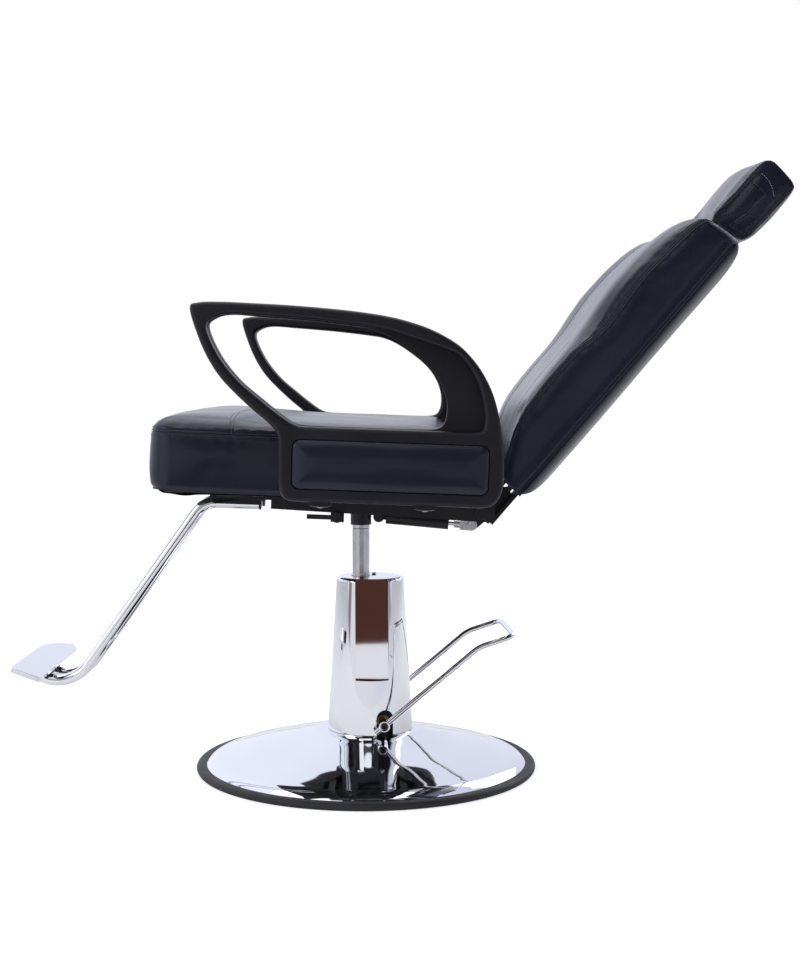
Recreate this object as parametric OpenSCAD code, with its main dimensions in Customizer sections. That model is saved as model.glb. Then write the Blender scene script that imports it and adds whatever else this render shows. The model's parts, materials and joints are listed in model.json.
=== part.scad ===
/* [Base] */
// Outer diameter of the floor ring
base_d = 560; // [500:5:600]
// Height of the dome's flat top above the floor
dome_h = 66; // [58:1:72]
// Thickness of the pressed dome
dome_t = 2; // [1.5:0.5:3]
// Turn of the base under the seat
base_yaw = 5; // [0:1:30]

/* [Pump] */
// Height of the pump cover's top above the floor
cover_top = 319; // [300:1:340]
// Radius of the cover at its foot
cover_r = 70; // [66:1:74]
// Radius of the cover at its top
cover_top_r = 55; // [52:1:58]
// Wall of the cover
cover_t = 2; // [1.5:0.5:3]
// Width of the flat pockets in the cover's sides
pocket_w = 54; // [44:1:60]
// Diameter of the lifting ram
ram_d = 28; // [24:1:32]
// Height of the ram's top above the floor at rest
ram_top = 398; // [385:1:410]

/* [Pedal] */
// Diameter of the pedal's bent rod
rod_d = 9; // [8:0.5:12]
// Distance between the pedal's two arms
pedal_w = 162; // [158:1:180]
// Reach of the pedal in front of its shaft
pedal_reach = 210; // [190:1:240]
// Diameter of the pedal shaft
shaft_d = 13; // [12:1:14]

/* [Seat] */
// Height of the seat frame's datum above the floor at rest
seat_z = 430; // [415:1:445]
// Backward tilt of the seat
seat_tilt = 2; // [0:0.5:5]
// Width of the seat cushion
seat_w = 600; // [560:5:620]
// Length of the seat cushion at its sides
seat_len = 447; // [430:1:455]
// Height of the seat cushion above its underside
seat_h = 116; // [90:1:125]
// Side of the square frame tubes
tube_s = 20; // [16:1:20]
// Wall of the square frame tubes
tube_t = 2; // [1.5:0.5:3]

/* [Arms] */
// Clearance between the seat cushion and an arm
arm_gap = 12; // [8:1:20]
// Thickness of an arm
arm_t = 47; // [36:1:50]

/* [Back] */
// Lean of the back from the seat's upright
lean = 38.5; // [30:0.5:45]
// Width of the back cushion
back_w = 550; // [500:5:560]
// Length of the back cushion above its hinge
back_len = 548; // [520:2:570]
// Depth of the cushion's hollow between the bolsters
hollow = 10; // [0:1:16]

/* [Headrest] */
// Width of the headrest
head_w = 280; // [240:5:320]
// Diameter of the headrest posts
post_d = 12; // [10:1:14]
// Distance between the headrest posts
post_gap = 120; // [100:5:150]

/* [Footrest] */
// Diameter of the footrest tubes
foot_tube_d = 19; // [16:1:20]
// Distance between the footrest tubes
foot_gap = 62; // [50:2:70]
// Half of the foot plate's length along its front edge
foot_half = 155; // [130:5:180]
// Tilt of the foot plate
foot_tilt = 27; // [20:1:35]

/* [Gas spring] */
// Diameter of the gas spring's cylinder
gas_d = 22; // [18:1:22]
// Diameter of the gas spring's rod
gas_rod_d = 8; // [8:1:10]

/* [Hidden] */

$fn = 48;
eps = 0.01;
weld = 0.03;         // how far the ball that joins two runs of rod stands proud of them
run_fit = 0.05;      // radial clearance of a turning or sliding fit
gap = 0.3;           // clearance between pieces that only rest near each other

steel = [0.10, 0.10, 0.11];
chrome = [0.82, 0.83, 0.86];
leather = [0.10, 0.10, 0.13];
plastic = [0.13, 0.13, 0.14];
rubber = [0.22, 0.22, 0.23];
grey = [0.6, 0.6, 0.62];
wood = [0.72, 0.58, 0.40];
brass = [0.78, 0.65, 0.35];

// ---------- helpers ----------
// Points of a circular arc
function arc(cx, cy, r, a0, a1, n) = [for (i = [0:n]) let (a = a0 + (a1 - a0) * i / n)
    [cx + r * cos(a), cy + r * sin(a)]];
// Value between the points of a table of [x, y] pairs, eased so that it has no corners
function ease(t) = t * t * (3 - 2 * t);
function lerp(a, b, t) = a + (b - a) * t;
function table(t, x, i = 0) = x <= t[0][0] ? t[0][1]
    : i >= len(t) - 1 ? t[len(t) - 1][1]
    : x <= t[i + 1][0] ? lerp(t[i][1], t[i + 1][1], (x - t[i][0]) / (t[i + 1][0] - t[i][0]))
    : table(t, x, i + 1);
// Closed smooth curve through points, n steps between each pair
function spline(p, n) = let (m = len(p)) [for (i = [0:m - 1], k = [0:n - 1]) let (t = k / n,
    a = p[(i + m - 1) % m], b = p[i], c = p[(i + 1) % m], d = p[(i + 2) % m])
    0.5 * (2 * b + (c - a) * t + (2 * a - 5 * b + 4 * c - d) * t * t + (3 * b - a - 3 * c + d) * t * t * t)];
function unit(v) = v / norm(v);
// A clockwise outline drawn in by d along the normals at its points
function inset(p, d) = let (m = len(p)) [for (i = [0:m - 1]) let (v = unit(unit(p[(i + 1) % m] - p[i])
    + unit(p[i] - p[(i + m - 1) % m]))) p[i] + d * [v[1], -v[0]]];
// An outline without the points that lie nearly on a straight line between the ones kept
function corners(p, i = 1, last = undef) = i == len(p) ? [p[0]] : let (a = is_undef(last) ? p[0] : last,
    kept = abs(cross(unit(p[i] - a), unit(p[(i + 1) % len(p)] - p[i]))) > 0.035)
    concat(kept ? [p[i]] : [], corners(p, i + 1, kept ? p[i] : a));
// Outline of a rectangle with round corners, clockwise, n points to a corner and 5 along each side
function round_rect(x0, x1, y0, y1, r, n) = let (c = [[x1 - r, y0 + r, 0], [x0 + r, y0 + r, -90],
    [x0 + r, y1 - r, -180], [x1 - r, y1 - r, -270]], k = 4)
    [for (i = [0:3]) let (q = arc(c[i][0], c[i][1], r, c[i][2], c[i][2] - 90, n),
        e = arc(c[(i + 1) % 4][0], c[(i + 1) % 4][1], r, c[(i + 1) % 4][2], 0, 1)[0])
        each concat(q, [for (j = [1:k]) lerp(q[n], e, j / (k + 1))])];
// Closed skin over a list of rings that have the same number of points. Its ends are fans about
// their middles.
function middle(r) = [for (q = r) 1] * r / len(r);
module skin(rings) {
    m = len(rings[0]);
    n = len(rings);
    polyhedron(points = concat([for (r = rings) each r], [middle(rings[0]), middle(rings[n - 1])]),
        convexity = 6, faces = concat(
            [for (i = [0:m - 1]) [i, (i + 1) % m, n * m]],
            [for (i = [0:m - 1]) [(n - 1) * m + (i + 1) % m, (n - 1) * m + i, n * m + 1]],
            [for (k = [0:n - 2], i = [0:m - 1], f = [0:1]) let (a = k * m + i, b = k * m + (i + 1) % m)
                f == 0 ? [a, a + m, b] : [b, a + m, b + m]]));
}
// A straight run of rod up the local Z axis, with whatever follows it
module straight(len, r) {
    cylinder(h = len, r = r);
    translate([0, 0, len]) children();
}
// A bend of rod from the local Z axis towards X, with whatever follows it
module curve(R, a, r) {
    sphere(r + weld);
    translate([R, 0, 0]) rotate([90, 0, 180]) rotate_extrude(angle = a) translate([R, 0]) circle(r);
    translate([R * (1 - cos(a)), 0, R * sin(a)]) rotate([0, a, 0]) {
        sphere(r + weld);
        children();
    }
}
// A cylinder along Y, between two values of Y
module along_y(y0, y1, r) translate([0, y0, 0]) rotate([-90, 0, 0]) cylinder(h = y1 - y0, r = r);
module in_base() rotate([0, 0, base_yaw]) children();
module in_seat() translate([0, 0, seat_z]) rotate([0, seat_tilt, 0]) children();
module in_back() in_seat() translate([pivot_u, 0, pivot_w]) rotate([0, lean, 0]) children();

// ---------- base ----------
base_x = 8.4;                 // centre of the base in front of the ram's axis
base_r = base_d / 2;
ring_h = 12;
ring_w = 18;
dome_r = base_r - 16;
dome_flat = 80;
dome_line = [[dome_flat, dome_h], [100, dome_h - 5.2], [130, dome_h - 13.6], [155, dome_h - 20],
    [180, dome_h - 26], [210, dome_h - 34], [base_r - 45, dome_h - 41.5], [dome_r - 8, 14], [dome_r, ring_h]];

module base_ring() color(rubber) in_base() translate([base_x, 0, 0]) difference() {
    rotate_extrude($fn = 128) {
        translate([base_r - ring_w, 0]) square([ring_w - ring_h / 2, ring_h]);
        translate([base_r - ring_h / 2, ring_h / 2]) circle(ring_h / 2);
    }
    translate([0, 0, ring_h - 3]) cylinder(h = 4, r = dome_r + gap / 2, $fn = 128);
}

module base_dome() color(chrome) in_base() translate([base_x, 0, 0]) difference() {
    rotate_extrude($fn = 128) polygon(concat([[0, dome_h]], dome_line, [[dome_r, ring_h - 3], [dome_r - dome_t, ring_h - 3]],
        [for (i = [len(dome_line) - 2:-1:0]) dome_line[i] + [-0.4 * dome_t, -dome_t]], [[0, dome_h - dome_t]]));
    translate([cover_x - base_x, 0, 0]) for (a = [45:90:315]) rotate(a) translate([bolt_r, 0, 0]) cylinder(h = 100, r = 5.5);
}

// ---------- pump ----------
cover_x = 15;                 // axis of the cover in front of the ram's axis
cover_foot = dome_h + gap;
cover_edge = 6;
pocket_floor = 47.7;
pocket_z = 155;
slot_w = 27;
slot_x = 35;
slot_z = 107;
flange_t = 10;
flange_r = 60;
bolt_r = 46;                  // pitch radius of the base bolts
barrel_r = 30;
barrel_top = 304;
bore_z = dome_h + 38;         // floor of the ram's bore
shaft_x = 33;
shaft_z = dome_h + 19;
shaft_r = shaft_d / 2;
bush_r = shaft_r + 3;
block_y = 44;
screw_p = [22.4, 18.1];       // cover screw, on the boss beside the ram
plate_t = 8;

module base_plate() color(steel) in_base() translate([cover_x, 0, 0]) difference() {
    translate([0, 0, dome_h - dome_t - plate_t]) cylinder(h = plate_t, r = 62);
    for (a = [45:90:315]) rotate(a) translate([bolt_r, 0, 0]) cylinder(h = 100, r = 5.5);
    cylinder(h = 100, r = 18);
}

module base_bolts() color(grey) in_base() translate([cover_x, 0, 0]) for (a = [45:90:315]) rotate(a)
    translate([bolt_r, 0, dome_h - dome_t - plate_t]) {
        translate([0, 0, -6]) cylinder(h = 6, r = 8, $fn = 6);
        cylinder(h = dome_t + plate_t + flange_t + 2, r = 5);
    }

function cover_wall(z, t) = cover_r - t - (cover_r - cover_top_r) * (z - cover_foot) / (cover_top - cover_foot);
module cover_form(t) {
    a = atan((cover_r - cover_top_r) / (cover_top - cover_foot));
    top = cover_top - t;
    e = cover_edge - t;
    rc = cover_wall(top - e, t) - e / cos(a);
    rotate_extrude($fn = 96) polygon(concat([[0, cover_foot - (t > 0 ? 1 : 0)],
        [cover_wall(cover_foot, t), cover_foot - (t > 0 ? 1 : 0)]], arc(rc, top - e, e, a, 90, 6), [[0, top]]));
}
module cover_pockets(t) for (s = [-1, 1]) translate([0, s * (pocket_floor - t + 50), pocket_z - t + 250])
    cube([pocket_w + 2 * t, 100, 500], center = true);

module pump_cover() color(chrome) in_base() difference() {
    translate([cover_x, 0, 0]) difference() {
        cover_form(0);
        cover_pockets(0);
    }
    translate([cover_x, 0, 0]) difference() {
        cover_form(cover_t);
        cover_pockets(cover_t);
    }
    translate([0, 0, cover_top - 10]) cylinder(h = 20, r = ram_d / 2 + 2);
    translate([screw_p[0], screw_p[1], cover_top - 10]) cylinder(h = 20, r = 2.2);
    translate([slot_x, 0, 0]) {
        translate([-slot_w / 2, -90, 0]) cube([slot_w, 180, slot_z - slot_w / 2]);
        translate([0, 0, slot_z - slot_w / 2]) along_y(-90, 90, slot_w / 2);
    }
}

module cover_screw() color(grey) in_base() translate([screw_p[0], screw_p[1], 0]) {
    translate([0, 0, cover_top - 24]) cylinder(h = 24, r = 2);
    translate([0, 0, cover_top]) difference() {
        cylinder(h = 2.4, r1 = 4.2, r2 = 3.4);
        translate([0, 0, 1]) cylinder(h = 2, r = 1.6, $fn = 6);
    }
}

module pump_body() color(steel) in_base() difference() {
    union() {
        translate([cover_x, 0, dome_h]) cylinder(h = flange_t, r = flange_r);
        translate([0, 0, dome_h]) cylinder(h = barrel_top - dome_h, r = barrel_r);
        translate([0, -block_y, dome_h]) cube([48, 2 * block_y, 38]);
        translate([screw_p[0], screw_p[1], cover_top - cover_t - 60]) cylinder(h = 60, r = 5);
    }
    translate([0, 0, bore_z]) cylinder(h = 400, r = ram_d / 2 + run_fit);
    translate([0, 0, barrel_top - 8]) cylinder(h = 100, r = ram_d / 2 + 5);
    translate([screw_p[0], screw_p[1], cover_top - 26]) cylinder(h = 60, r = 2);
    translate([shaft_x, 0, shaft_z]) along_y(-100, 100, shaft_r + 1);
    for (s = [-1, 1]) translate([shaft_x, s * (block_y - 7), shaft_z]) along_y(-7 - eps, 7 + eps, bush_r);
    translate([plunger_x - 8, -9, dome_h + flange_t + 2]) cube([30, 18, 22]);
    translate([plunger_x, 0, 0]) cylinder(h = 150, r = plunger_r + run_fit);
    translate([cover_x, 0, 0]) for (a = [45:90:315]) rotate(a) translate([bolt_r, 0, 0]) cylinder(h = 100, r = 5);
}

module gland_nut() color(grey) in_base() difference() {
    translate([0, 0, barrel_top]) cylinder(h = cover_top - cover_t - barrel_top - gap, r = 20);
    cylinder(h = 500, r = ram_d / 2 + 0.4);
}

module ram_seal() color(rubber) in_base() difference() {
    translate([0, 0, barrel_top - 8]) cylinder(h = 8, r = ram_d / 2 + 5);
    cylinder(h = 500, r = ram_d / 2 + run_fit);
}

module shaft_bushes() color(brass) in_base() for (s = [-1, 1]) translate([shaft_x, s * (block_y - 7), shaft_z])
    difference() {
        along_y(-7, 7, bush_r);
        along_y(-20, 20, shaft_r + run_fit);
    }

// ---------- ram and swivel ----------
ram_foot = 184;
spindle_r = 9;
collar_z = ram_top + 6;
collar_top = seat_z + 12;
collar_r = 17;

module ram() color(chrome) in_base() difference() {
    translate([0, 0, ram_foot]) cylinder(h = ram_top - ram_foot, r = ram_d / 2);
    translate([0, 0, ram_top - 110]) cylinder(h = 200, r = spindle_r + run_fit);
    difference() {
        translate([0, 0, ram_foot + 8]) cylinder(h = 5, r = 50);
        cylinder(h = 500, r = ram_d / 2 - 2.5);
    }
}

module piston_ring() color(rubber) in_base() difference() {
    translate([0, 0, ram_foot + 8]) cylinder(h = 5, r = ram_d / 2);
    cylinder(h = 500, r = ram_d / 2 - 2.5);
}

module spindle() color(grey) {
    translate([0, 0, ram_top - 100]) cylinder(h = 101, r = spindle_r);
    translate([0, 0, ram_top + gap]) cylinder(h = collar_z - ram_top - gap, r = ram_d / 2);
    translate([0, 0, collar_z]) cylinder(h = collar_top - collar_z - 4, r1 = 12.5, r2 = 10.5);
}

// ---------- under the seat ----------
rail_w0 = 18;                 // underside of the frame tubes
rail_w1 = rail_w0 + tube_s;
rail_y = 100;
pivot_u = 190;                // the back's hinge
pivot_w = 22;
pivot_r = 14;
rail_front = -235;
rail_rear = pivot_u - pivot_r - 1;
cross_u = [-100, 110];
front_u = -225;
side_y = seat_w / 2 - 70;     // inner face of a side plate
side_t = 4;
hub_t = 4;
hub_u = [-60, 90];
hub_y = rail_y + 12;
hub_bolt_u = [-45, 75];
tab_u = [-47, 103];
tab_w = 33;
arm_y = seat_w / 2 + arm_gap; // inner face of an arm
arm_bolt_y = arm_y + arm_t / 2;
tab_end = arm_y + arm_t - 7.5;
ear_t = 4;
ear_y = 6.5;                  // inner face of the gas spring's ears
gas_f = [30, -11.8];          // front pin of the gas spring
gas_c = [182.8, -20.6];       // rear pin of the gas spring
gas_pin_r = 4;
rel_u = -27;
rel_w = 7;
rel_r = 5;
lug_y = 62;

// A square tube along X or Y
module tube_u(u0, u1, y) translate([u0, y - tube_s / 2, rail_w0]) cube([u1 - u0, tube_s, tube_s]);
module tube_y(u, y0, y1) translate([u - tube_s / 2, y0, rail_w0]) cube([tube_s, y1 - y0, tube_s]);
module void_u(u0, u1, y) translate([u0, y - tube_s / 2 + tube_t, rail_w0 + tube_t])
    cube([u1 - u0, tube_s - 2 * tube_t, tube_s - 2 * tube_t]);
module void_y(u, y0, y1) translate([u - tube_s / 2 + tube_t, y0, rail_w0 + tube_t])
    cube([tube_s - 2 * tube_t, y1 - y0, tube_s - 2 * tube_t]);

module seat_frame() color(steel) in_seat() difference() {
    for (s = [-1, 1]) tube_u(rail_front, rail_rear, s * rail_y);
    for (s = [-1, 1]) void_u(rail_front - 1, rail_rear + 1, s * rail_y);
    for (u = hub_bolt_u, s = [-1, 1]) translate([u, s * rail_y, 0]) cylinder(h = 30, r = 4.2);
}

// Tubes welded between the two long ones, and out to the side plates
module cross_tubes() color(steel) in_seat() {
    rail_in = rail_y - tube_s / 2;
    rail_out = rail_y + tube_s / 2;
    for (u = cross_u, y = [[-side_y, -rail_out], [-rail_in, rail_in], [rail_out, side_y]]) difference() {
        tube_y(u, y[0], y[1]);
        void_y(u, y[0] - 1, y[1] + 1);
    }
    difference() {
        tube_y(front_u, -rail_in, rail_in);
        void_y(front_u, -rail_in - 1, rail_in + 1);
        for (s = [-1, 1]) translate([front_u, s * bracket_bolt_y, 0]) cylinder(h = 30, r = 3.2);
    }
}

function side_low(u) = lerp(15.5, 6.5, (u + 127) / 335);
module side_plate(s) difference() {
    union() {
        translate([0, s > 0 ? side_y + side_t : -side_y, 0]) rotate([90, 0, 0]) linear_extrude(side_t) {
            polygon([[-127, side_low(-127)], [-127, rail_w1], [208, rail_w1], [208, side_low(208)]]);
            if (s < 0) polygon([[rel_u - 10, rel_w - 8], [rel_u - 10, 20], [rel_u + 10, 20], [rel_u + 10, rel_w - 8]]);
        }
        for (u = tab_u) translate([u - tab_w / 2, s > 0 ? side_y : -tab_end, rail_w1 - 5])
            cube([tab_w, tab_end - side_y, 5]);
    }
    for (u = tab_u) translate([u, s * arm_bolt_y, 0]) cylinder(h = 60, r = 4.5);
    translate([pivot_u, 0, pivot_w]) along_y(-side_y - 50, side_y + 50, pin_r);
    if (s < 0) translate([rel_u, 0, rel_w]) along_y(-side_y - 50, 0, rel_r + run_fit);
}
module side_plate_left() color(steel) in_seat() side_plate(-1);
module side_plate_right() color(steel) in_seat() side_plate(1);

module swivel_hub() color(steel) difference() {
    union() {
        difference() {
            translate([0, 0, collar_z]) cylinder(h = collar_top + 10 - collar_z, r = collar_r);
            in_seat() translate([-100, -100, rail_w0 - hub_t + 1]) cube([200, 200, 60]);
        }
        in_seat() {
            translate([hub_u[0], -hub_y, rail_w0 - hub_t]) cube([hub_u[1] - hub_u[0], 2 * hub_y, hub_t]);
            for (s = [-1, 1]) translate([0, s > 0 ? ear_y + ear_t : -ear_y, 0]) rotate([90, 0, 0]) linear_extrude(ear_t) {
                translate(gas_f) circle(9);
                translate([gas_f[0] - 9, gas_f[1]]) square([18, rail_w0 - hub_t - gas_f[1] + 1]);
            }
            translate([rel_u - 9, -lug_y - 4, rel_w - 8]) cube([18, 4, rail_w0 - hub_t - rel_w + 9]);
        }
    }
    translate([0, 0, collar_z - eps]) cylinder(h = collar_top - collar_z - 4 + eps, r1 = 12.5, r2 = 10.5);
    in_seat() {
        translate([gas_f[0], 0, gas_f[1]]) along_y(-50, 50, gas_pin_r);
        translate([rel_u, 0, rel_w]) along_y(-100, 0, rel_r + run_fit);
        for (u = hub_bolt_u, s = [-1, 1]) translate([u, s * rail_y, 0]) cylinder(h = 30, r = 4.2);
    }
}

module hub_bolts() color(grey) in_seat() for (u = hub_bolt_u, s = [-1, 1]) translate([u, s * rail_y, 0]) {
    translate([0, 0, rail_w0 - hub_t - 5]) cylinder(h = 5, r = 6.5, $fn = 6);
    translate([0, 0, rail_w0 - hub_t]) cylinder(h = hub_t + tube_t + 8, r = 4);
}

// ---------- seat ----------
seat_rear = 145;
seat_front = seat_rear - seat_len;
seat_w0 = 40;                 // underside of the cushion
seam_w = seat_w0 + seat_h - 26;
seat_bow = 16;
seat_corner = 40;
board_t = 12;
board_in = 22;
dust_t = 0.8;
dust_in = 14;
crown_at = [[0, 0], [8, 8], [20, 13.5], [45, 17.5], [90, 21], [150, 23.5]];
seat_side = [[5, 0], [1, 6], [0, 30], [0.5, 60], [1.5, 66], [0.5, 72], [1.5, 84], [4, 89], [4, 91], [1, 95]];
cross_seam = -186;

function seat_top(d) = seam_w + 5 + table(crown_at, d) * (seat_h - 90) / 26;
function seat_ring(d, w) = [for (p = round_rect(seat_front + d, seat_rear - d, -seat_w / 2 + d, seat_w / 2 - d,
    max(seat_corner - d, 4), 5)) let (b = p[0] < 0 ? pow(p[0] / seat_front, 2) : 0,
    y = p[1] / (seat_w / 2)) [p[0] - seat_bow * (1 - y * y) * b, p[1], w]];

module seat_cushion() color(leather) in_seat() difference() {
    skin(concat([for (p = seat_side) seat_ring(p[0], seat_w0 + p[1] * (seat_h - 26) / 90)],
        [for (d = [2, 5, 10, 20, 40, 70, 110, 150]) seat_ring(d, seat_top(d - 1))]));
    translate([seat_front + board_in, -seat_w / 2 + board_in, seat_w0 - 2])
        cube([seat_len - 2 * board_in, seat_w - 2 * board_in, rail_w1 + dust_t + board_t - seat_w0 + 2]);
    skin([for (y = [-seat_w / 2 - 2 : (seat_w + 4) / 16 : seat_w / 2 + 2.1]) let (z = seat_top(min(110, seat_w / 2 - abs(y))))
        [for (a = [0:-60:-300]) [cross_seam + 4 * cos(a), y, z + 1.5 + 4 * sin(a)]]]);
}

module seat_board() color(wood) in_seat() translate([seat_front + board_in, -seat_w / 2 + board_in, rail_w1 + dust_t])
    cube([seat_len - 2 * board_in, seat_w - 2 * board_in, board_t]);

module dust_cover() color(leather) in_seat() translate([seat_front + dust_in, -seat_w / 2 + dust_in, rail_w1])
    cube([seat_len - 2 * dust_in, seat_w - 2 * dust_in, dust_t]);

// ---------- arms ----------
arm_edge = 6;
rim_t = 23;                   // depth of the outer half, whose opening is wider
web_lip = 0.8;                // how far the inner half's opening is drawn in
panel_u = [-88, 192];
panel_w = [rail_w1 + 18, rail_w1 + 89];
panel_sink = 6;
// Smooth outline through points given above an arm's foot, which rests flat on the side plate's tabs
function seated(p) = [for (q = spline(p, 2)) [q[0], rail_w1 + max(q[1], 0)]];
// Outline of an arm, clockwise seen from its outer side, [u, above its foot]
arm_outline = corners(seated([[-238, 267], [-226, 276], [-193, 278], [-145, 277], [-100, 276], [-55, 274], [-10, 271],
    [35, 266], [70, 259], [105, 248], [139, 230], [161, 210], [178, 188], [192, 161], [202, 130], [209, 92],
    [212, 57], [211, 28], [202, 8], [184, 0], [140, 0], [60, 0], [-20, 0], [-80, 0], [-98, 5],
    [-105, 24], [-107, 62], [-109, 93], [-122, 110], [-146, 129], [-170, 150], [-192, 172], [-209, 196], [-224, 226]]));
// The wider opening of the outer half
rim_hole = corners(seated([[-214, 242], [-205, 256], [-182, 262], [-140, 261], [-70, 258], [-9, 253], [40, 246], [86, 233],
    [120, 223], [145, 212], [164, 188], [176, 162], [182, 134], [182, 117], [172, 108], [110, 107], [20, 107], [-60, 107],
    [-84, 109], [-105, 121], [-136, 144], [-168, 170], [-196, 204]]));
// The narrower opening of the inner half
web_hole = corners(seated([[-214, 242], [-205, 256], [-182, 262], [-140, 261], [-70, 254], [0, 243], [36, 237], [71, 223],
    [94, 209], [112, 190], [125, 167], [131, 144], [128, 120], [116, 109], [80, 107], [10, 107], [-50, 107],
    [-84, 109], [-105, 121], [-136, 144], [-168, 170], [-196, 204]]));
// Section of the cut that rounds an edge, [inwards, deeper], in shares of arm_edge
edge_section = [[-0.064, 1.15], [0.3, 0.3], [1.15, -0.064], [-0.5, -0.5]];

function at_y(p, y) = [for (q = p) [q[0], y, q[1]]];
// Band along an outline that rounds the edge at the face y. The face's inside is towards s, and the
// outline's material is inside it for side 1 and outside it for side -1.
module edge_cut(p, side, y, s) {
    m = len(p);
    polyhedron(points = [for (q = edge_section) each at_y(inset(p, side * q[0] * arm_edge), y + s * q[1] * arm_edge)],
        convexity = 8, faces = [for (k = [0:3], i = [0:m - 1], f = [0:1]) let (j = (i + 1) % m, n = (k + 1) % 4,
            t = f == 0 ? [k * m + i, n * m + i, k * m + j] : [k * m + j, n * m + i, n * m + j])
            s * side < 0 ? [t[2], t[1], t[0]] : t]);
}
module arm_slab(p, y0, y1) translate([0, arm_y + y1, 0]) rotate([90, 0, 0]) linear_extrude(y1 - y0) polygon(p);
module arm_form() difference() {
    arm_slab(arm_outline, 0, arm_t);
    arm_slab(inset(web_hole, web_lip), -1, arm_t - rim_t + 1);
    arm_slab(rim_hole, arm_t - rim_t, arm_t + 1);
    arm_slab(panel_ring(-gap), arm_t - panel_sink, arm_t + 1);
    edge_cut(arm_outline, 1, arm_y, 1);
    edge_cut(arm_outline, 1, arm_y + arm_t, -1);
    edge_cut(inset(web_hole, web_lip), -1, arm_y, 1);
    edge_cut(rim_hole, -1, arm_y + arm_t, -1);
    for (u = tab_u) translate([u, arm_bolt_y, rail_w1 - 1]) cylinder(h = 22, r = 4.1);
}
function panel_ring(d) = round_rect(panel_u[0] + d, panel_u[1] - d, panel_w[0] + d, panel_w[1] - d, max(12 - d, 2), 4);
module panel_form() skin([for (q = [[0.3, 0.3], [4, 0], [6.5, 1.5], [7.8, 5], [8.6, 14], [9, 28]])
    at_y(panel_ring(q[1]), arm_y + arm_t - panel_sink + q[0])]);

module arm_left() color(plastic) in_seat() mirror([0, 1, 0]) arm_form();
module arm_right() color(plastic) in_seat() arm_form();
module panel_left() color(leather) in_seat() mirror([0, 1, 0]) panel_form();
module panel_right() color(leather) in_seat() panel_form();

module arm_bolts() color(grey) in_seat() for (u = tab_u, s = [-1, 1]) translate([u, s * arm_bolt_y, rail_w1 - 5]) {
    cylinder(h = 24, r = 4);
    rotate([180, 0, 0]) rotate_extrude() difference() {
        scale([1, 0.6]) circle(8);
        translate([-20, -20]) square([40, 20]);
        translate([-20, -20]) square([20, 40]);
    }
}

// ---------- footrest ----------
foot_r = foot_tube_d / 2;
foot_end = -164;
foot_w = 4.5;                 // height of the tubes' upper run in the seat's frame
foot_bend = 45;
foot_slope = 54.7;
foot_knee = 62;
foot_tail = foot_r + 1.5;     // straight end of a tube, under the plate
bracket_u = [-240, -160];
bracket_y = foot_gap / 2 + 14;
bracket_t = 3;
bracket_bolt_y = 12;
bracket_w = foot_w + foot_r + gap;
foot_vertex = -261;           // where the upper run and the slope would meet
knee = [-467, 151.8];         // where the slope and the level would meet, [x, z]
toe = [-541.8, 194.3];        // front edge of the foot plate, [x, z]
plate_depth = 47;
plate_rim = 8;
sheet_t = 2;
slope_len = (seat_z + foot_w - foot_vertex * sin(seat_tilt) - knee[1]) / sin(foot_slope);

module footrest_bracket() color(steel) difference() {
    in_seat() union() {
        translate([bracket_u[0], -bracket_y, bracket_w]) cube([bracket_u[1] - bracket_u[0], 2 * bracket_y, rail_w0 - bracket_w]);
        for (s = [-1, 1]) translate([bracket_u[0], s > 0 ? bracket_y - bracket_t : -bracket_y, foot_w])
            cube([bracket_u[1] - bracket_u[0], bracket_t, rail_w0 - foot_w]);
        translate([bracket_u[0], 0, rail_w0]) rotate([0, foot_slope - 90, 0])
            translate([-4, -bracket_y, -16]) cube([4, 2 * bracket_y, 16]);
    }
    for (s = [-1, 1]) foot_route(s, foot_r + gap);
    in_seat() for (s = [-1, 1]) translate([front_u, s * bracket_bolt_y, 0]) cylinder(h = 30, r = 3.2);
}

module bracket_bolts() color(grey) in_seat() for (s = [-1, 1]) translate([front_u, s * bracket_bolt_y, bracket_w]) {
    translate([0, 0, -4]) cylinder(h = 4, r = 5.5, $fn = 6);
    cylinder(h = rail_w0 - bracket_w + 8, r = 3);
}

module in_plate() translate([toe[0], 0, toe[1]]) rotate([0, foot_tilt, 0]) children();

// Course of a footrest tube: level, down the slope, and up under the plate
module foot_route(s, r) in_seat() translate([foot_end, s * foot_gap / 2, foot_w]) rotate([0, -90, 0]) rotate(180)
    straight(foot_end - foot_vertex - foot_bend * tan((foot_slope + seat_tilt) / 2), r)
    curve(foot_bend, foot_slope + seat_tilt, r)
    straight(slope_len - foot_bend * tan((foot_slope + seat_tilt) / 2) - foot_knee * tan(foot_slope / 2), r)
    rotate(180) curve(foot_knee, foot_slope + 20, r) straight(foot_tail, r);
module foot_tube(s) color(chrome) difference() {
    foot_route(s, foot_r);
    foot_route(s, foot_r - 1.5);
}
module footrest_tube_left() foot_tube(-1);
module footrest_tube_right() foot_tube(1);

module tube_plugs() color(rubber) in_seat() for (s = [-1, 1]) translate([foot_end, s * foot_gap / 2, foot_w])
    rotate([0, 90, 0]) {
        cylinder(h = 3, r = foot_r);
        translate([0, 0, -12]) cylinder(h = 13, r = foot_r - 1.5 - run_fit);
    }

module plate_outline() polygon(concat(arc(8, 8 - foot_half, 8, 180, 270, 4),
    arc(plate_depth - 6, 23 - foot_half, 6, -70, 0, 3), arc(plate_depth - 6, foot_half - 23, 6, 0, 70, 3),
    arc(260, 20, 260, 180 - asin((foot_half - 23) / 260), 180, 8)));
module foot_plate() color(chrome) in_plate() difference() {
    translate([0, 0, -plate_rim]) linear_extrude(plate_rim) plate_outline();
    translate([0, 0, -plate_rim - 1]) linear_extrude(plate_rim + 1 - sheet_t) offset(delta = -sheet_t) plate_outline();
}

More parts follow.
